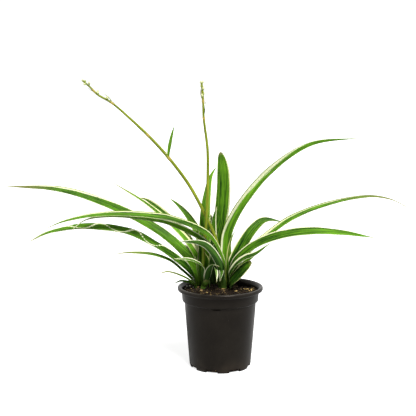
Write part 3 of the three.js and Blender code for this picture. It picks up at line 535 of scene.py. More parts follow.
class Recipe:
    """A material, or the surroundings, put together from nodes."""

    def __init__(self, name, kind="materials"):
        self.made = getattr(bpy.data, kind).new(name)
        self.made.use_nodes = True
        self.nodes = self.made.node_tree.nodes
        self.nodes.clear()

    def node(self, kind, settings=None, **inputs):
        made = self.nodes.new(kind)
        for name, value in (settings or {}).items():
            setattr(made, name, value)
        for name, value in inputs.items():
            self.put(made, name.replace("_", " "), value)
        return made

    def put(self, node, name, value):
        socket = node.inputs[int(name) if name.isdigit() else name]
        if isinstance(value, bpy.types.NodeSocket):
            self.made.node_tree.links.new(value, socket)
        else:
            socket.default_value = rgba(value) if isinstance(value, Color) else value

    def mark(self, name):
        return self.node("ShaderNodeAttribute", {"attribute_name": name}).outputs["Fac"]

    def maths(self, operation, *values, clamp=False):
        made = self.node("ShaderNodeMath", {"operation": operation, "use_clamp": clamp})
        for k, value in enumerate(values):
            self.put(made, str(k), value)
        return made.outputs[0]

    def ramp(self, value, low, high, to_low=0, to_high=1):
        settings = {"interpolation_type": "SMOOTHSTEP"}
        made = self.node("ShaderNodeMapRange", settings, Value=value, From_Min=low, From_Max=high,
                         To_Min=to_low, To_Max=to_high)
        return made.outputs["Result"]

    def mix(self, share, a, b):
        made = self.node("ShaderNodeMix", {"data_type": "RGBA"})
        self.put(made, "0", share)
        self.put(made, "6", a)
        self.put(made, "7", b)
        return made.outputs[2]

    def place(self, scale=(1, 1, 1)):
        where = self.node("ShaderNodeTexCoord").outputs["Object"]
        return self.node("ShaderNodeMapping", Vector=where, Scale=scale).outputs["Vector"]

    def grain(self, where, scale, detail=3, roughness=0.55):
        made = self.node("ShaderNodeTexNoise", Vector=where, Scale=scale, Detail=detail, Roughness=roughness)
        return made.outputs["Fac"]

    def streaks(self, across, along, stretch, scale, start=0):
        """Grain that is drawn out along a blade or a stem."""
        lanes = self.node("ShaderNodeCombineXYZ", X=across, Y=self.maths("MULTIPLY", along, stretch), Z=start)
        return self.grain(lanes.outputs[0], scale, 4, 0.6)

    def bump(self, height, strength, distance, base=None):
        made = self.node("ShaderNodeBump", Height=height, Strength=strength, Distance=distance)
        if base:
            self.put(made, "Normal", base)
        return made.outputs["Normal"]

    def ribs(self, across, rate, strength, distance):
        return self.bump(self.maths("SINE", self.maths("MULTIPLY", across, rate)), strength, distance)

    def skin(self, colour, roughness, normal, specular=0.5, **more):
        made = self.node("ShaderNodeBsdfPrincipled", Base_Color=colour, Roughness=roughness, Normal=normal,
                         Specular_IOR_Level=specular, **more)
        return made.outputs[0]

    def thin(self, skin, share, colour, normal):
        """A skin that lets a share of the light through."""
        glow = self.node("ShaderNodeBsdfTranslucent", Color=colour, Normal=normal)
        both = self.node("ShaderNodeMixShader", Fac=share)
        self.put(both, "1", skin)
        self.put(both, "2", glow.outputs[0])
        return both.outputs[0]

    def finish(self, shader, output="ShaderNodeOutputMaterial"):
        self.node(output, Surface=shader)
        return self.made


def leaf_material(settings):
    """Green blade with pale edge stripes, fine ribs along it and a paler underside, darkened towards its base
    by painted shade.
    """
    r = Recipe("striped leaf")
    across, along = r.mark("across"), r.mark("along")
    streaks = r.streaks(across, along, 0.035, 0.85, r.mark("leaf"))
    clouds = r.grain(r.place(), 38, 2)
    light = r.maths("ADD", r.mark("shade"), r.ramp(streaks, 0.32, 0.68, -0.38, 0.38))
    light = r.maths("ADD", light, r.ramp(clouds, 0.3, 0.7, -0.12, 0.12), clamp=True)
    colour = r.mix(light, settings.dark_green, settings.light_green)
    keel = r.ramp(r.maths("ABSOLUTE", across), 0.1, 0.7, 0.35, 0)
    colour = r.mix(keel, colour, settings.midrib_green)
    colour = r.mix(r.maths("MULTIPLY", r.mark("under"), 0.32), colour, settings.underside_green)
    colour = r.mix(r.ramp(along, 2, 22, 0.3, 0), colour, settings.root_colour)
    pale = r.mix(r.mark("gold"), settings.margin_white, settings.margin_gold)
    waver = r.ramp(streaks, 0.25, 0.75, -0.22, 0.22)
    reach = r.maths("ADD", r.maths("MINIMUM", r.mark("from_low"), r.mark("from_high")), waver)
    colour = r.mix(r.ramp(reach, 0.8, 1.15, 1, 0), colour, pale)
    colour = r.mix(r.ramp(r.mark("from_hem"), 0.75, 1.1, 1, 0), colour, settings.hem_green)
    dried = r.ramp(r.mark("to_tip"), 0, 1, 0.85, 0)
    dried = r.maths("MULTIPLY", dried, r.ramp(streaks, 0.3, 0.7, 0.65, 1))
    colour = r.mix(dried, colour, settings.tip_brown)
    # Painted shade: every blade is darkened towards its base, standing in for the shade among the leaves of
    # the crown.
    colour = r.mix(r.ramp(along, 3, 42, 0.62, 0), colour, settings.dark_green)
    normal = r.bump(streaks, 0.25, 0.0003, r.ribs(across, 7.5, 0.35, 0.00018))
    skin = r.skin(colour, r.ramp(clouds, 0.3, 0.7, 0.42, 0.56), normal, 0.12)
    return r.finish(r.thin(skin, 0.22, r.mix(0.5, colour, settings.glow_green), normal))


def stalk_material(settings):
    """Olive stem with fine ribs along it, yellower towards its nodes and greener at its foot."""
    r = Recipe("flower stalk skin")
    along, around = r.mark("along"), r.mark("around")
    streaks = r.streaks(around, along, 0.03, 1.4)
    colour = r.mix(r.ramp(streaks, 0.3, 0.7), settings.stalk_dark, settings.stalk_light)
    colour = r.mix(r.ramp(along, 0, 60, 0.5, 0), colour, settings.stalk_foot)
    colour = r.mix(r.mark("node"), colour, settings.stalk_node)
    normal = r.bump(streaks, 0.2, 0.0002, r.ribs(around, 10, 0.3, 0.00012))
    return r.finish(r.skin(colour, r.ramp(streaks, 0.3, 0.7, 0.38, 0.52), normal, 0.15))


def bract_material(settings):
    """Small leaf on the stalk, green where it is fresh and papery where it has dried."""
    r = Recipe("flower bract")
    across = r.mark("across")
    streaks = r.streaks(across, r.mark("along"), 0.08, 2)
    green = r.mix(r.ramp(streaks, 0.3, 0.7), settings.bract_dark, settings.bract_light)
    papery = r.mix(r.ramp(streaks, 0.35, 0.65), settings.bract_paper, settings.bract_pink)
    colour = r.mix(r.mark("dry"), green, papery)
    normal = r.ribs(across, 9, 0.3, 0.00015)
    return r.finish(r.thin(r.skin(colour, 0.5, normal, 0.15), 0.3, colour, normal))


def bud_material(settings):
    """Closed flower bud: green at its foot, cream towards its tip, with a green line down each petal."""
    r = Recipe("flower bud")
    colour = r.mix(r.ramp(r.mark("along"), 0.35, 0.75), settings.bud_green, settings.bud_cream)
    petals = r.maths("ABSOLUTE", r.maths("COSINE", r.maths("MULTIPLY", r.mark("around"), BUD_PETALS / 2)))
    line = r.maths("POWER", petals, 10)
    colour = r.mix(r.maths("MULTIPLY", line, 0.5), colour, settings.bud_green)
    normal = r.bump(r.grain(r.place(), 1400, 2), 0.2, 0.0001)
    return r.finish(r.skin(colour, 0.45, normal, 0.2))


def crown_material(settings):
    """Short stem of the plant: pale and fibrous, with brown leaf scars round it."""
    r = Recipe("crown tissue")
    fibres = r.grain(r.place((1, 1, 0.25)), 900, 5, 0.65)
    scars = r.grain(r.place((0.2, 0.2, 1)), 1500, 2)
    colour = r.mix(r.ramp(fibres, 0.35, 0.65), settings.root_colour, rgba(settings.light_green, 0.7))
    colour = r.mix(r.ramp(scars, 0.5, 0.65, 0, 0.7), colour, rgba(settings.tip_brown, 0.7))
    return r.finish(r.skin(colour, 0.6, r.bump(fibres, 0.5, 0.0003)))


def pot_material(settings):
    """Thin moulded plastic: near black, softly glossy, with faint flow marks, scuffs, dust of soil and a
    painted highlight along the lip of the rim.
    """
    r = Recipe("moulded pot plastic")
    where = r.place()
    cloud = r.grain(where, 26, 4, 0.6)
    flow = r.grain(r.place((1, 1, 0.08)), 320, 3)
    speck = r.grain(where, 2600, 2)
    scuffs = r.grain(r.place((3, 3, 0.5)), 210, 6, 0.7)
    height = r.node("ShaderNodeSeparateXYZ", Vector=where).outputs["Z"]
    low_dust = r.ramp(height, 0, 0.022, 0.22, 0)
    rim_dust = r.ramp(height, 0.0965, 0.103, 0, 0.1)
    dust = r.maths("MULTIPLY", r.maths("MAXIMUM", low_dust, rim_dust), r.ramp(cloud, 0.35, 0.7))
    colour = r.mix(r.ramp(cloud, 0.3, 0.7), settings.plastic, settings.plastic_worn)
    colour = r.mix(r.ramp(scuffs, 0.62, 0.75, 0, 0.5), colour, settings.scuff)
    colour = r.mix(dust, colour, settings.dust)
    # Painted highlight along the top of the rim's lip: it is lightened with the scuff colour at twice its
    # strength and made glossier.
    lip_highlight = r.maths("MULTIPLY", r.ramp(height, 0.1012, 0.1027), r.ramp(cloud, 0.42, 0.6, 0.25, 1))
    colour = r.mix(r.maths("MULTIPLY", lip_highlight, 0.25), colour, rgba(settings.scuff, 2))
    rough = r.ramp(cloud, 0.3, 0.7, 0.28, 0.4)
    rough = r.maths("ADD", rough, r.ramp(scuffs, 0.55, 0.75, 0, 0.2))
    rough = r.maths("ADD", rough, r.maths("MULTIPLY", dust, 0.4))
    rough = r.maths("SUBTRACT", rough, r.maths("MULTIPLY", lip_highlight, 0.1), clamp=True)
    normal = r.bump(speck, 0.12, 0.00008, r.bump(flow, 0.1, 0.0003))
    return r.finish(r.skin(colour, rough, normal, 0.15, Specular_Tint=(1, 0.88, 0.76, 1)))


def soil_material(settings):
    """Dark moist potting mix with a crumbly surface."""
    r = Recipe("potting mix")
    where = r.place()
    lumps = r.grain(where, 420, 6, 0.65)
    fine = r.grain(where, 2200, 4, 0.7)
    tone = r.maths("ADD", r.mark("tone"), r.ramp(lumps, 0.3, 0.7, -0.45, 0.45), clamp=True)
    colour = r.mix(tone, settings.soil_dark, settings.soil_light)
    flecks = r.ramp(r.grain(where, 760, 2, 0.5), 0.64, 0.69, 0, 0.75)
    colour = r.mix(flecks, colour, settings.soil_fleck)
    normal = r.bump(fine, 0.6, 0.0005, r.bump(lumps, 0.8, 0.0012))
    return r.finish(r.skin(colour, 0.92, normal, 0.12))


def chip_material(settings):
    """Flakes of bark, from straw to red brown, with fibres along them."""
    r = Recipe("bark chip")
    fibres = r.grain(r.place((1, 1, 3)), 900, 5, 0.7)
    tone = r.maths("ADD", r.mark("tone"), r.ramp(fibres, 0.3, 0.7, -0.35, 0.35), clamp=True)
    colour = r.mix(tone, settings.bark_dark, settings.bark_light)
    return r.finish(r.skin(colour, 0.8, r.bump(fibres, 0.6, 0.0004)))


def perlite_material(settings):
    """White puffed mineral grains with a foamy surface."""
    r = Recipe("perlite grain")
    foam = r.node("ShaderNodeTexVoronoi", Vector=r.place(), Scale=2600).outputs["Distance"]
    colour = r.mix(r.ramp(foam, 0, 0.5), rgba(settings.perlite, 0.7), settings.perlite)
    return r.finish(r.skin(colour, 0.85, r.bump(foam, 0.7, 0.0003)))


# Pot
def rounded(outline):
    """The outline's points, with each corner that has a third number rounded over that length."""
    points = []
    for i, (r, z, *bend) in enumerate(outline):
        corner = np.array((r, z), float)
        if not bend:
            points.append(corner)
            continue
        start, end = (
            corner + unit(np.array(outline[other][:2], float) - corner) * bend[0] for other in (i - 1, i + 1)
        )
        for k in range(CORNER_STEPS + 1):
            s = k / CORNER_STEPS
            points.append(start * (1 - s) ** 2 + corner * 2 * s * (1 - s) + end * s * s)
    return points


def dent_depth(angle, z):
    """The small undercut that the mould left beneath the collar at the front."""
    sideways = abs((math.degrees(angle) - DENT["angle"] + 180) % 360 - 180) / DENT["spread"]
    upward = abs(z - DENT["height"]) / DENT["reach"]
    return DENT["depth"] * (1 - smoothstep(math.hypot(sideways, upward), 0.5, 1.0))


def cut_drains(pot):
    """Cuts the drain holes out of the pot's foot."""
    cutters = []
    reach = (BASE_RADIUS + 1) * MM
    for i in range(DRAIN_COUNT):
        turn = math.radians(FIRST_DRAIN + i * 360 / DRAIN_COUNT)
        bpy.ops.mesh.primitive_cube_add(size=1)
        cutter = bpy.context.object
        cutter.scale = [side * MM for side in DRAIN_SIZE]
        cutter.location = (reach * math.cos(turn), reach * math.sin(turn), 0)
        cutter.rotation_euler = (0, 0, turn)
        rounding = cutter.modifiers.new("rounding", "BEVEL")
        rounding.width = DRAIN_ROUNDING * MM
        rounding.segments = 4
        cut = pot.modifiers.new("drain", "BOOLEAN")
        cut.object = cutter
        cut.operation = "DIFFERENCE"
        cutters.append(cutter)
    bpy.context.view_layer.update()
    shown = pot.evaluated_get(bpy.context.evaluated_depsgraph_get())
    mesh = bpy.data.meshes.new_from_object(shown)
    pot.modifiers.clear()
    pot.data = mesh
    mesh.shade_smooth()
    mesh.set_sharp_from_angle(angle=math.radians(POT_CREASE))
    for cutter in cutters:
        bpy.data.objects.remove(cutter)


def make_pot(settings):
    """The turned pot: its outline runs from under the base up the outside and down the inside."""
    widening = BODY_TOP_RADIUS - BASE_RADIUS
    points = rounded([
        (0, BASE_HOLLOW),
        (BASE_RADIUS - 8, BASE_HOLLOW),
        (BASE_RADIUS - 7, 0, 0.4),
        (BASE_RADIUS - 1.2, 0, 0.8),
        (BASE_RADIUS, FOOT_BEND, 1.2),
        *((BASE_RADIUS + widening * share, FOOT_BEND + (COLLAR_FOOT - 5.8) * share)
          for share in (0.25, 0.5, 0.75, 0.9)),
        *((BODY_TOP_RADIUS - 0.35 + 0.07 * k, COLLAR_FOOT - 4.6 + 0.55 * k) for k in range(5)),
        (BODY_TOP_RADIUS, COLLAR_FOOT - 1.5, 0.4),
        (COLLAR_RADIUS - COLLAR_LEAN, COLLAR_FOOT, 0.8),
        (COLLAR_RADIUS, POT_HEIGHT - 6, 1.0),
        (RIM_RADIUS - 0.8, POT_HEIGHT - 5, 0.6),
        (RIM_RADIUS, POT_HEIGHT - 3.8, 0.8),
        (RIM_RADIUS, POT_HEIGHT - 1.2, 0.8),
        (RIM_RADIUS - 1, POT_HEIGHT - 0.1, 0.6),
        (RIM_RADIUS - 2.4, POT_HEIGHT, 0.8),
        (COLLAR_RADIUS + 0.6, POT_HEIGHT - 0.8, 1.2),
        (COLLAR_RADIUS - POT_WALL, POT_HEIGHT - 3.5, 1.4),
        (COLLAR_RADIUS - COLLAR_LEAN - POT_WALL, COLLAR_FOOT + POT_WALL),
        (BODY_TOP_RADIUS - POT_WALL, COLLAR_FOOT - 1, 0.8),
        (BASE_RADIUS - POT_WALL, BASE_THICKNESS + 2, 1.0),
        (BASE_RADIUS - POT_WALL - 1.5, BASE_THICKNESS, 0.6),
        (0, BASE_THICKNESS),
    ])
    shell = Shell()
    loops = []
    for k, (r, z) in enumerate(points):
        if r < 1e-6:
            loops.append([shell.add((0, 0, z))] * settings.sides)
            continue
        loop = []
        for angle, cos, sin in spokes(settings.sides):
            inset = dent_depth(angle, z) if k < len(points) * OUTSIDE_SHARE else 0
            loop.append(shell.add(((r - inset) * cos, (r - inset) * sin, z)))
        loops.append(loop)
    shell.tube(loops, capped=False)
    pot = shell.build("nursery_pot", [pot_material(settings)])
    cut_drains(pot)
    dress(pot, "pot_plastic", "pot")


# Soil
def soil_height(x, y):
    drop = SOIL_EDGE_DROP * (1 - smoothstep(SOIL_EDGE - math.hypot(x, y), 0, SOIL_EDGE_WIDTH))
    from_hollow = math.hypot(x - HOLLOW["x"], y - HOLLOW["y"])
    sunk = HOLLOW["depth"] * (1 - smoothstep(from_hollow, HOLLOW["floor"], HOLLOW["reach"]))
    return SOIL_LEVEL - drop - sunk


def rough_soil_height(x, y):
    """The soil's height with its lumps, and heaped a little against the crowns."""
    lumps = noise.fractal(Vector((x, y, 3)) * 0.16, 0.7, 2.1, 5) * LUMP_HEIGHT
    crowns = (LEFT, RIGHT, BACK)
    heap = sum(HEAP_HEIGHT * math.exp(-((x - cx) ** 2 + (y - cy) ** 2) / HEAP_SPREAD) for cx, cy in crowns)
    return soil_height(x, y) + lumps + heap


def scatter(rng, reach):
    """A distance from the middle and an angle, drawn so that the places lie evenly on the soil."""
    return reach * math.sqrt(rng.random()), rng.uniform(0, 2 * math.pi)


def add_lump(shell, rng, centre, size, stretch, kind, tone, detail=1):
    """An uneven grain, turned at random."""
    ball = bmesh.new()
    bmesh.ops.create_icosphere(ball, subdivisions=detail, radius=1)
    turn = Matrix.Rotation(rng.uniform(0, 6.28), 3, "Z") @ Matrix.Rotation(rng.uniform(-0.5, 0.5), 3, "X")
    shift = Vector((rng.uniform(0, 50), rng.uniform(0, 50), rng.uniform(0, 50)))
    numbers = {}
    for vertex in ball.verts:
        rough = 1 + LUMP_UNEVENNESS * noise.noise(vertex.co * 1.7 + shift)
        place = turn @ Vector(c * s * size * rough for c, s in zip(vertex.co, stretch))
        numbers[vertex.index] = shell.add(place + Vector(centre), tone=tone)
    for face in ball.faces:
        shell.face(*(numbers[v.index] for v in face.verts), kind=kind)
    ball.free()


def make_soil(settings):
    """One closed body of soil, with the crumbs, chips and grains that lie on it."""
    rng = random.Random(settings.seed)
    shell = Shell("tone")
    loops = []
    for r, z in SOIL_OUTLINE:
        loops.append([shell.add((r * cos, r * sin, z), tone=0.3) for _, cos, sin in spokes(SOIL_SIDES)])
    for k in range(SOIL_RINGS):
        r = SOIL_EDGE - k * SOIL_RING_PITCH
        loop = []
        for _, cos, sin in spokes(SOIL_SIDES):
            x, y = r * cos, r * sin
            tone = 0.35 + 0.3 * noise.noise(Vector((x, y, 9)) * 0.3)
            loop.append(shell.add((x, y, rough_soil_height(x, y)), tone=tone))
        loops.append(loop)
    shell.tube(loops)
    for _ in range(settings.crumb_count):
        r, angle = scatter(rng, CRUMB_REACH)
        size = min(CRUMB_SIZE * math.exp(abs(rng.gauss(0, CRUMB_SPREAD))), CRUMB_LARGEST)
        r = min(r, POT_INSIDE - size)
        x, y = r * math.cos(angle), r * math.sin(angle)
        z = rough_soil_height(x, y) + size * rng.uniform(0, 0.5)
        stretch = (rng.uniform(0.8, 1.5), 1, rng.uniform(0.6, 0.9))
        add_lump(shell, rng, (x, y, z), size, stretch, SOIL_KIND, rng.uniform(0, 0.75))
    chips = list(BARK_CHIPS)
    for _ in range(settings.chip_count):
        r, angle = scatter(rng, CHIP_REACH)
        chips.append((r * math.cos(angle), r * math.sin(angle), rng.uniform(0.5, 1.3), rng.uniform(0, 0.65)))
    for x, y, size, tone in chips:
        z = rough_soil_height(x, y) + size * 0.55
        stretch = (rng.uniform(1.4, 2.4), rng.uniform(0.7, 1), rng.uniform(0.3, 0.5))
        add_lump(shell, rng, (x, y, z), size, stretch, CHIP_KIND, tone, detail=2)
    grains = list(PERLITE_GRAINS)
    for _ in range(settings.perlite_count):
        r, angle = scatter(rng, CHIP_REACH)
        grains.append((r * math.cos(angle), r * math.sin(angle), rng.uniform(0.5, 1)))
    for x, y, size in grains:
        z = rough_soil_height(x, y) + size * 0.6
        add_lump(shell, rng, (x, y, z), size, (1.1, 1, 0.9), GRAIN_KIND, 0.5, detail=2)
    soil = shell.build(
        "potting_mix", [soil_material(settings), chip_material(settings), perlite_material(settings)]
    )
    dress(soil, "potting_mix", "soil")


def make_crown(name, centre, finish):
    """A short stem that stands in the soil, domed on top and ringed by the scars of old leaves."""
    shell = Shell()
    loops = []
    for share, depth in CROWN_OUTLINE:
        loop = []
        for _, cos, sin in spokes(CROWN_SIDES):
            uneven = noise.noise(Vector((cos * 2, sin * 2, depth * 0.5 + centre[0])))
            r = CROWN_RADIUS * share * (1 + CROWN_UNEVENNESS * uneven)
            z = CROWN_TOP + depth - 0.12 * abs(uneven)
            loop.append(shell.add((centre[0] + r * cos, centre[1] + r * sin, z)))
        loops.append(loop)
    shell.tube(loops)
    crown = shell.build(name.replace("crown", "stem"), [finish], crease=STEM_CREASE)
    dress(crown, "crown_tissue", name)


# Leaves
def blade(shell, frames, columns, half_at, fold_at, turn_at, lift_at, thick_at, marks_at, kind=0):
    """A thin folded strip, with its upper and its lower face and a narrow side all round."""
    upper, lower = [], []
    full = math.sqrt(1 + KEEL_WIDTH ** 2) - KEEL_WIDTH
    for t, place, _, across, up in frames:
        turn, fold, half = turn_at(t), fold_at(t), half_at(t)
        side = across * math.cos(turn) + up * math.sin(turn)
        face = up * math.cos(turn) - across * math.sin(turn)
        top, under = [], []
        for k in range(columns):
            u = 2 * k / (columns - 1) - 1
            bend = math.sqrt(u * u + KEEL_WIDTH ** 2)
            slope = fold * u / bend
            lift = (bend - KEEL_WIDTH) / full * half * math.sin(fold) + lift_at(t, u)
            point = place + side * (u * half * math.cos(fold)) + face * lift
            out = face * math.cos(slope) - side * math.sin(slope)
            thick, marks = thick_at(u), marks_at(t, u, half)
            top.append(shell.add(point + out * thick / 2, under=0, **marks))
            under.append(shell.add(point - out * thick / 2, under=1, **marks))
        upper.append(top)
        lower.append(under)
    for i in range(len(upper) - 1):
        for k in range(columns - 1):
            shell.face(upper[i][k], upper[i + 1][k], upper[i + 1][k + 1], upper[i][k + 1], kind=kind)
            shell.face(lower[i][k], lower[i][k + 1], lower[i + 1][k + 1], lower[i + 1][k], kind=kind)
        for k in (0, columns - 1):
            shell.face(upper[i][k], lower[i][k], lower[i + 1][k], upper[i + 1][k], kind=kind)
    for i in (0, len(upper) - 1):
        for k in range(columns - 1):
            shell.face(upper[i][k], upper[i][k + 1], lower[i][k + 1], lower[i][k], kind=kind)


def make_leaf(number, leaf, settings, finish):
    """Grows one leaf from its ring on the crown. Its number makes it uneven in a way of its own."""
    ring_radius = INNER_RING + leaf.ring * RING_PITCH
    facing = math.radians(leaf.facing)
    outward = np.array((math.cos(facing), math.sin(facing), 0))
    foot = np.array((*leaf.crown, CROWN_TOP + FIT_GAP)) + outward * ring_radius
    sheath_top = foot + np.array((0, 0, SHEATH_HEIGHT - leaf.ring))
    route = Route(route_points([foot, sheath_top, *leaf.path]))
    length = route.length
    base = min(BASE_HALF_WIDTH, leaf.width / 2)
    wrap = math.asin(base / (2 * ring_radius))  # the fold that lays its base round its ring
    way = 1 if leaf.path[-1][0] > foot[0] else -1

    def half_at(t):
        widened = smoothstep(t * length, 0, min(FULL_WIDTH_FROM, 0.6 * length))
        half = lerp(base, leaf.width / 2, widened)
        if leaf.blunt:
            half *= max(leaf.blunt * 0.6, math.sqrt(1 - t ** 7))
        else:
            half = max(TIP_HALF_WIDTH, half * (1 - t ** leaf.taper))
        uneven = noise.noise(Vector((t * length * 0.04, number * 3.1, 0)))
        return half * (leaf.spread + WIDTH_UNEVENNESS * uneven)

    def fold_at(t):
        opening = lerp(wrap, math.radians(MID_FOLD), smoothstep(t, 0.08, 0.3))
        return lerp(opening, math.radians(TIP_FOLD), smoothstep(t, 0.3, 0.8))

    def turn_at(t):
        return way * math.radians(lerp(*leaf.turn, t)) * smoothstep(t, -0.04, 0.1)

    def lift_at(t, u):
        wave = u * leaf.ruffle * math.sin(t * WAVE_RATE + u) * smoothstep(t, 0.15, 0.4) * (1 - t)
        drift = noise.noise(Vector((t * length * 0.05, u * 2.0, number * 5.7)))
        return wave + u * u * EDGE_UNEVENNESS * drift * smoothstep(t, 0.1, 0.3)

    def marks_at(t, u, half):
        narrowed = STRIPE_AT_TIP + (1 - STRIPE_AT_TIP) * half / (leaf.width / 2)
        narrowed *= smoothstep(t * length, 0, STRIPES_FROM)
        low, high = (
            max(follow(margin, t) * settings.margin_scale * narrowed, NO_STRIPE) for margin in leaf.margins
        )
        low_hem, high_hem = (max(follow(hem, t) * narrowed, NO_STRIPE) for hem in leaf.hem)
        shifted = leaf.wander * half * (1 - math.cos(WANDER_RATE * (t - WANDER_START)))
        shifted = shifted * smoothstep(t, 0.25, 0.35) * smoothstep(0.85 - t, 0, 0.1)
        return dict(
            across=u * leaf.width / 2,
            along=t * length,
            to_tip=(1 - t) * length / leaf.dry,
            from_low=abs((1 + u) * half - shifted) / low,
            from_high=(1 - u) * half / high,
            from_hem=min((1 + u) * half / low_hem, (1 - u) * half / high_hem, PLAIN),
            # The tone along the leaf, partly painted shade and light, with painted shade on one half of the
            # fold from lean.
            shade=follow(leaf.shade, t) + leaf.lean * u,
            gold=leaf.gold,
            leaf=number * 7.3,
        )

    thickness = settings.blade_thickness / MM
    shell = Shell(
        "across", "along", "to_tip", "from_low", "from_high", "from_hem", "shade", "gold", "leaf", "under"
    )
    rows = max(LEAST_ROWS, round(length * MM / settings.row_spacing))
    frames = route.frames((-math.sin(facing), math.cos(facing), 0), rows)
    blade(shell, frames, LEAF_COLUMNS, half_at, fold_at, turn_at, lift_at,
          lambda u: thickness * (1 - 0.5 * abs(u)), marks_at)
    piece = shell.build(leaf.name.replace("leaf", "blade", 1), [finish], crease=LEAF_CREASE)
    dress(piece, "leaf_blade", leaf.name)


# Flower stalks
def add_stem(shell, route, widths, nodes):
    """The round stalk, a little swollen at its nodes."""
    low, middle, high = widths
    loops = []
    for t, place, _, across, up in route.frames((0, 1, 0), round(route.length / STALK_ROW)):
        upper = (t - STALK_BEND) / (1 - STALK_BEND)
        thick = lerp(low, middle, t / STALK_BEND) if upper < 0 else lerp(middle, high, upper)
        near = max(math.exp(-((t - at) * route.length / NODE_LENGTH) ** 2) for at in nodes)
        loop = []
        for angle, cos, sin in spokes(STALK_SIDES):
            uneven = 1 + 0.04 * noise.noise(Vector((cos, sin, t * route.length * 0.1)))
            r = thick / 2 * uneven * (STALK_FULLNESS + NODE_SWELLING * near)
            point = place + (across * cos + up * sin) * r
            loop.append(shell.add(point, along=t * route.length, around=angle, node=near))
        loops.append(loop)
    shell.tube(loops, kind=STALK_KIND)


def add_bract(shell, root, along, bract):
    """A small leaf, folded round the stalk at its foot."""
    to = np.array(bract.to, float)
    s = np.linspace(0, 1, 40)[:, None]
    route = Route(root + 2 * s * (1 - s) * np.array(bract.bow, float) + s * s * to)
    lean = unit(to - along * np.dot(along, to))
    blade(
        shell,
        route.frames(-unit(np.cross(lean, along)), BRACT_ROWS),
        BRACT_COLUMNS,
        half_at=lambda t: max(BRACT_TIP_HALF_WIDTH, bract.width / 2 * (0.75 + t) * (1 - t ** 1.6)),
        fold_at=lambda t: math.radians(lerp(*BRACT_FOLD, smoothstep(t, 0, 0.5))),
        turn_at=lambda t: math.radians(bract.turn),
        lift_at=lambda t, u: 0.2 * u * noise.noise(Vector((t * 6, u, bract.width))),
        thick_at=lambda u: BRACT_THICKNESS - 0.2 * abs(u),
        marks_at=lambda t, u, half: dict(across=u * bract.width / 2, along=t * route.length, dry=bract.dry),
        kind=BRACT_KIND,
    )


def add_bud(shell, root, bud):
    """A closed bud on its thin stem. Its petals show as soft ridges."""
    way = unit(np.array(bud.to, float))
    side = unit(np.cross(way, (0.3, 1, 0.1)))
    other = np.cross(way, side)
    loops = []
    for k in range(BUD_ROWS):
        s = k / (BUD_ROWS - 1)
        swell = max(s - BUD_STEM, 0) / (1 - BUD_STEM)
        swollen = BUD_RADIUS * math.sin(math.pi * min(swell, 1) ** 0.8) if swell > 0 else 0
        r = max(BUD_STEM_RADIUS if s < 0.42 else BUD_TIP_RADIUS, swollen)
        loop = []
        for angle, cos, sin in spokes(BUD_SIDES):
            ridged = r * (1 + (BUD_RIDGE * math.cos(BUD_PETALS * angle) if swell > 0 else 0))
            point = root + way * s * bud.length + (side * cos + other * sin) * ridged
            loop.append(shell.add(point, along=s, around=angle))
        loops.append(loop)
    shell.tube(loops, kind=BUD_KIND)


def make_stalk(stalk, finishes):
    """Grows a flower stalk with all that it bears."""
    foot = (*stalk.crown, CROWN_TOP + FIT_GAP + 0.1)
    route = Route(route_points([foot, *stalk.path]))
    shell = Shell("along", "around", "node", "across", "under", "dry")
    add_stem(shell, route, stalk.widths, [bract.at for bract in stalk.bracts])
    for bract in stalk.bracts:
        add_bract(shell, route.place(bract.at), route.along(bract.at), bract)
    for bud in stalk.buds:
        add_bud(shell, route.place(bud.at), bud)
    piece = shell.build(stalk.name.replace("flower_stalk", "bloom_stalk"), finishes, crease=STEM_CREASE)
    dress(piece, "stalk_tissue", stalk.name)


# Settings
def tint(name, description, default):
    return FloatVectorProperty(
        name=name, description=description, default=default, subtype="COLOR", min=0, max=1
    )


class PotSettings(bpy.types.PropertyGroup):
    sides: IntProperty(name="Sides", description="Number of sides of the turned pot", default=160, min=24)
    plastic: tint("Plastic", "Colour of the clean plastic", (0.005, 0.0042, 0.0034))
    plastic_worn: tint("Worn plastic", "Colour where it is rubbed", (0.009, 0.0077, 0.006))
    # At twice its strength, the scuff colour also paints the highlight on the rim's lip.
    scuff: tint("Scuffs", "Colour of fine scratches", (0.055, 0.05, 0.045))
    dust: tint("Dust", "Colour of dried soil on the rim and foot", (0.075, 0.055, 0.038))


class SoilSettings(bpy.types.PropertyGroup):
    seed: IntProperty(name="Seed", description="Changes how the crumbs lie", default=7, min=0)
    crumb_count: IntProperty(name="Crumbs", description="Number of soil crumbs", default=1300, min=0)
    chip_count: IntProperty(name="Bark chips", description="Number of scattered chips", default=46, min=0)
    perlite_count: IntProperty(name="Perlite", description="Number of scattered grains", default=3, min=0)
    soil_dark: tint("Dark soil", "Colour of moist soil", (0.006, 0.0038, 0.0022))
    soil_light: tint("Light soil", "Colour of drier soil", (0.026, 0.016, 0.009))
    soil_fleck: tint("Soil flecks", "Colour of the fine fibres in the soil", (0.38, 0.27, 0.10))
    bark_dark: tint("Dark bark", "Colour of old bark", (0.075, 0.034, 0.016))
    bark_light: tint("Light bark", "Colour of fresh bark", (0.58, 0.39, 0.13))
    perlite: tint("Perlite", "Colour of the white grains", (0.72, 0.70, 0.66))


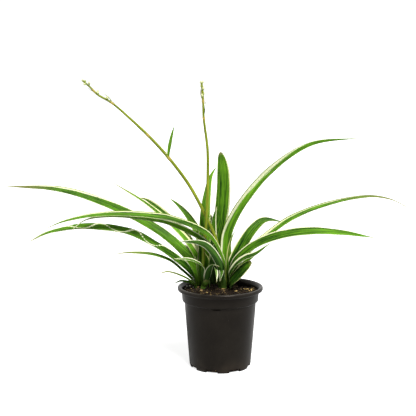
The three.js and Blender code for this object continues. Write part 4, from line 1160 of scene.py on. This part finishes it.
class LeafSettings(bpy.types.PropertyGroup):
    blade_thickness: FloatProperty(name="Thickness", description="Thickness of a leaf at its midrib",
                                   default=0.0005, min=0.0002, max=0.0008, unit="LENGTH")
    row_spacing: FloatProperty(name="Row spacing", description="Distance between rows of points on a leaf",
                               default=0.003, min=0.001, unit="LENGTH")
    margin_scale: FloatProperty(name="Stripe width", description="Scale of the pale stripes", default=1.0,
                                min=0.2, max=2)
    # Dark green also paints the shade towards the leaf bases.
    dark_green: tint("Dark green", "Colour of the darkest leaves", (0.0045, 0.032, 0.0025))
    light_green: tint("Light green", "Colour of the lightest leaves", (0.165, 0.41, 0.014))
    midrib_green: tint("Midrib", "Colour along the midrib", (0.15, 0.37, 0.025))
    underside_green: tint("Underside", "Colour of a leaf's lower face", (0.09, 0.21, 0.05))
    root_colour: tint("Leaf base", "Colour of the leaf bases", (0.30, 0.38, 0.05))
    margin_white: tint("White stripe", "Colour of the palest edge stripes", (0.95, 0.96, 0.70))
    margin_gold: tint("Yellow stripe", "Colour of the yellowest edge stripes", (0.84, 0.82, 0.24))
    hem_green: tint("Edge line", "Colour of the olive line outside a stripe", (0.17, 0.25, 0.03))
    tip_brown: tint("Dry tip", "Colour of the dried leaf tips", (0.33, 0.28, 0.11))
    glow_green: tint("Glow", "Colour of light that comes through a leaf", (0.25, 0.58, 0.04))


class StalkSettings(bpy.types.PropertyGroup):
    stalk_dark: tint("Dark stalk", "Darker colour of the stalks", (0.102, 0.142, 0.008))
    stalk_light: tint("Light stalk", "Lighter colour of the stalks", (0.25, 0.295, 0.016))
    stalk_foot: tint("Stalk foot", "Colour of the stalks near the soil", (0.15, 0.27, 0.04))
    stalk_node: tint("Stalk node", "Colour of the stalks at their nodes", (0.40, 0.31, 0.07))
    bract_dark: tint("Dark bract", "Darker colour of fresh bracts", (0.09, 0.27, 0.012))
    bract_light: tint("Light bract", "Lighter colour of fresh bracts", (0.24, 0.46, 0.03))
    bract_paper: tint("Dry bract", "Colour of dry bracts", (0.52, 0.48, 0.26))
    bract_pink: tint("Flushed bract", "Pinkish colour of dry bracts", (0.40, 0.30, 0.25))
    bud_green: tint("Green of a bud", "Colour of the lower part of a bud", (0.22, 0.33, 0.07))
    bud_cream: tint("Cream of a bud", "Colour of the upper part of a bud", (0.62, 0.63, 0.33))


class StageSettings(bpy.types.PropertyGroup):
    key_strength: FloatProperty(name="Key light", description="Strength of the key light", default=5.0, min=0)
    key_softness: FloatProperty(name="Softness", description="How wide the key light looks from the plant",
                                default=math.radians(24), min=0, max=math.pi, subtype="ANGLE")
    surround: FloatProperty(name="Surround", description="Strength of the light from the sides and above",
                            default=0.45, min=0)
    front: FloatProperty(name="Front", description="Strength of the light from the front", default=0.2, min=0)
    shine: FloatProperty(name="Shine", description="Extra strength of the surroundings in reflections",
                         default=1.2, min=0)
    floor: tint("Floor", "Colour of the floor", (0.6, 0.6, 0.6))
    floor_glow: FloatProperty(name="Floor glow", description="Strength of the light within the floor",
                              default=0.75, min=0)


# Stage
def floor_material(settings):
    """White table that is lit from within, so that only the shadow close to the pot shows on it."""
    r = Recipe("white floor")
    seen = r.node("ShaderNodeLightPath").outputs["Is Camera Ray"]
    paper = r.node("ShaderNodeBsdfDiffuse", Color=settings.floor)
    shine = r.node("ShaderNodeEmission", Strength=r.maths("MULTIPLY", seen, settings.floor_glow))
    both = r.node("ShaderNodeAddShader")
    r.put(both, "0", paper.outputs[0])
    r.put(both, "1", shine.outputs[0])
    return r.finish(both.outputs[0])


def white_room(settings):
    """White surroundings, which light the plant less from the front than from the sides and above."""
    r = Recipe("white room", "worlds")
    ray = r.node("ShaderNodeLightPath").outputs
    direction = r.node("ShaderNodeTexCoord").outputs["Generated"]
    depth = r.node("ShaderNodeSeparateXYZ", Vector=direction).outputs["Y"]
    from_front, to_front = FRONT_FADE
    lit = r.node("ShaderNodeMapRange", Value=depth, From_Min=from_front, From_Max=to_front,
                 To_Min=settings.front, To_Max=settings.surround)
    shine = r.maths("MULTIPLY_ADD", ray["Is Glossy Ray"], settings.shine, 1)
    lit = r.maths("MULTIPLY", lit.outputs["Result"], shine)
    strength = r.node("ShaderNodeMix", Factor=ray["Is Camera Ray"], A=lit, B=BACKGROUND)
    sky = r.node("ShaderNodeBackground", Color=(1, 1, 1, 1), Strength=strength.outputs["Result"])
    return r.finish(sky.outputs[0], "ShaderNodeOutputWorld")


# Operators
class MakeStage(bpy.types.Operator):
    """Sets the camera, the lights, the white floor and the white surroundings"""

    bl_idname = "spider_plant.make_stage"
    bl_label = "Stage"

    def execute(self, context):
        settings = context.scene.spider_plant_stage
        camera = bpy.data.objects.new("camera", bpy.data.cameras.new("camera"))
        context.scene.collection.objects.link(camera)
        camera.location = CAMERA_PLACE
        camera.rotation_euler = (math.radians(CAMERA_TILT), 0, 0)
        camera.data.lens = CAMERA_LENS
        camera.data.sensor_width = CAMERA_SENSOR
        context.scene.camera = camera
        light = bpy.data.objects.new("key_light", bpy.data.lights.new("key_light", "SUN"))
        context.scene.collection.objects.link(light)
        light.rotation_euler = Vector(KEY_DIRECTION).to_track_quat("-Z", "Y").to_euler()
        light.data.energy = settings.key_strength
        light.data.angle = settings.key_softness
        shell = Shell()
        corners = ((-1, -1), (1, -1), (1, 1), (-1, 1))
        shell.face(*(shell.add((x * FLOOR_REACH, y * FLOOR_REACH, 0)) for x, y in corners))
        floor = shell.build("floor", [floor_material(settings)])
        context.scene.world = white_room(settings)
        context.scene.view_settings.view_transform = "Standard"
        return {"FINISHED"}


class MakePot(bpy.types.Operator):
    """Turns the pot, with its rolled rim, collar and drain holes"""

    bl_idname = "spider_plant.make_pot"
    bl_label = "Pot"

    def execute(self, context):
        make_pot(context.scene.spider_plant_pot)
        return {"FINISHED"}


class MakeSoil(bpy.types.Operator):
    """Fills the pot with crumbly potting mix, bark chips and white grains"""

    bl_idname = "spider_plant.make_soil"
    bl_label = "Soil"

    def execute(self, context):
        make_soil(context.scene.spider_plant_soil)
        return {"FINISHED"}


class MakeCrowns(bpy.types.Operator):
    """Sets the three short stems that the leaves grow from"""

    bl_idname = "spider_plant.make_crowns"
    bl_label = "Crowns"

    def execute(self, context):
        finish = crown_material(context.scene.spider_plant_leaf)
        for name, centre in (("crown_left", LEFT), ("crown_right", RIGHT), ("crown_back", BACK)):
            make_crown(name, centre, finish)
        return {"FINISHED"}


class MakeLeaves(bpy.types.Operator):
    """Grows the striped leaves along their midribs"""

    bl_idname = "spider_plant.make_leaves"
    bl_label = "Leaves"

    def execute(self, context):
        settings = context.scene.spider_plant_leaf
        finish = leaf_material(settings)
        for number, leaf in enumerate(LEAVES):
            make_leaf(number, leaf, settings, finish)
        return {"FINISHED"}


class MakeStalks(bpy.types.Operator):
    """Grows the two flower stalks with their bracts and buds"""

    bl_idname = "spider_plant.make_stalks"
    bl_label = "Flower stalks"

    def execute(self, context):
        settings = context.scene.spider_plant_stalk
        finishes = [stalk_material(settings), bract_material(settings), bud_material(settings)]
        for stalk in STALKS:
            make_stalk(stalk, finishes)
        return {"FINISHED"}


class SpiderPlantPanel(bpy.types.Panel):
    """Lists the steps that build the plant, with their settings"""

    bl_idname = "VIEW3D_PT_spider_plant"
    bl_label = "Spider plant"
    bl_space_type = "VIEW_3D"
    bl_region_type = "UI"
    bl_category = "Spider plant"

    def draw(self, context):
        for name, (_, operators) in GROUPS.items():
            box = self.layout.box()
            for operator in operators:
                box.operator(operator.bl_idname)
            settings = getattr(context.scene, name)
            for setting in settings.__annotations__:
                box.prop(settings, setting)


# The groups of settings, each with the steps that use it
GROUPS = {
    "spider_plant_stage": (StageSettings, [MakeStage]),
    "spider_plant_pot": (PotSettings, [MakePot]),
    "spider_plant_soil": (SoilSettings, [MakeSoil]),
    "spider_plant_leaf": (LeafSettings, [MakeCrowns, MakeLeaves]),
    "spider_plant_stalk": (StalkSettings, [MakeStalks]),
}
CLASSES = [made for group, operators in GROUPS.values() for made in (group, *operators)] + [SpiderPlantPanel]


def register():
    for made in CLASSES:
        bpy.utils.register_class(made)
    for name, (group, _) in GROUPS.items():
        setattr(bpy.types.Scene, name, PointerProperty(type=group))


def unregister():
    for name in GROUPS:
        delattr(bpy.types.Scene, name)
    for made in reversed(CLASSES):
        bpy.utils.unregister_class(made)


def main():
    register()
    bpy.ops.spider_plant.make_stage()
    bpy.ops.spider_plant.make_pot()
    bpy.ops.spider_plant.make_soil()
    bpy.ops.spider_plant.make_crowns()
    bpy.ops.spider_plant.make_leaves()
    bpy.ops.spider_plant.make_stalks()


if __name__ == "__main__":
    main()
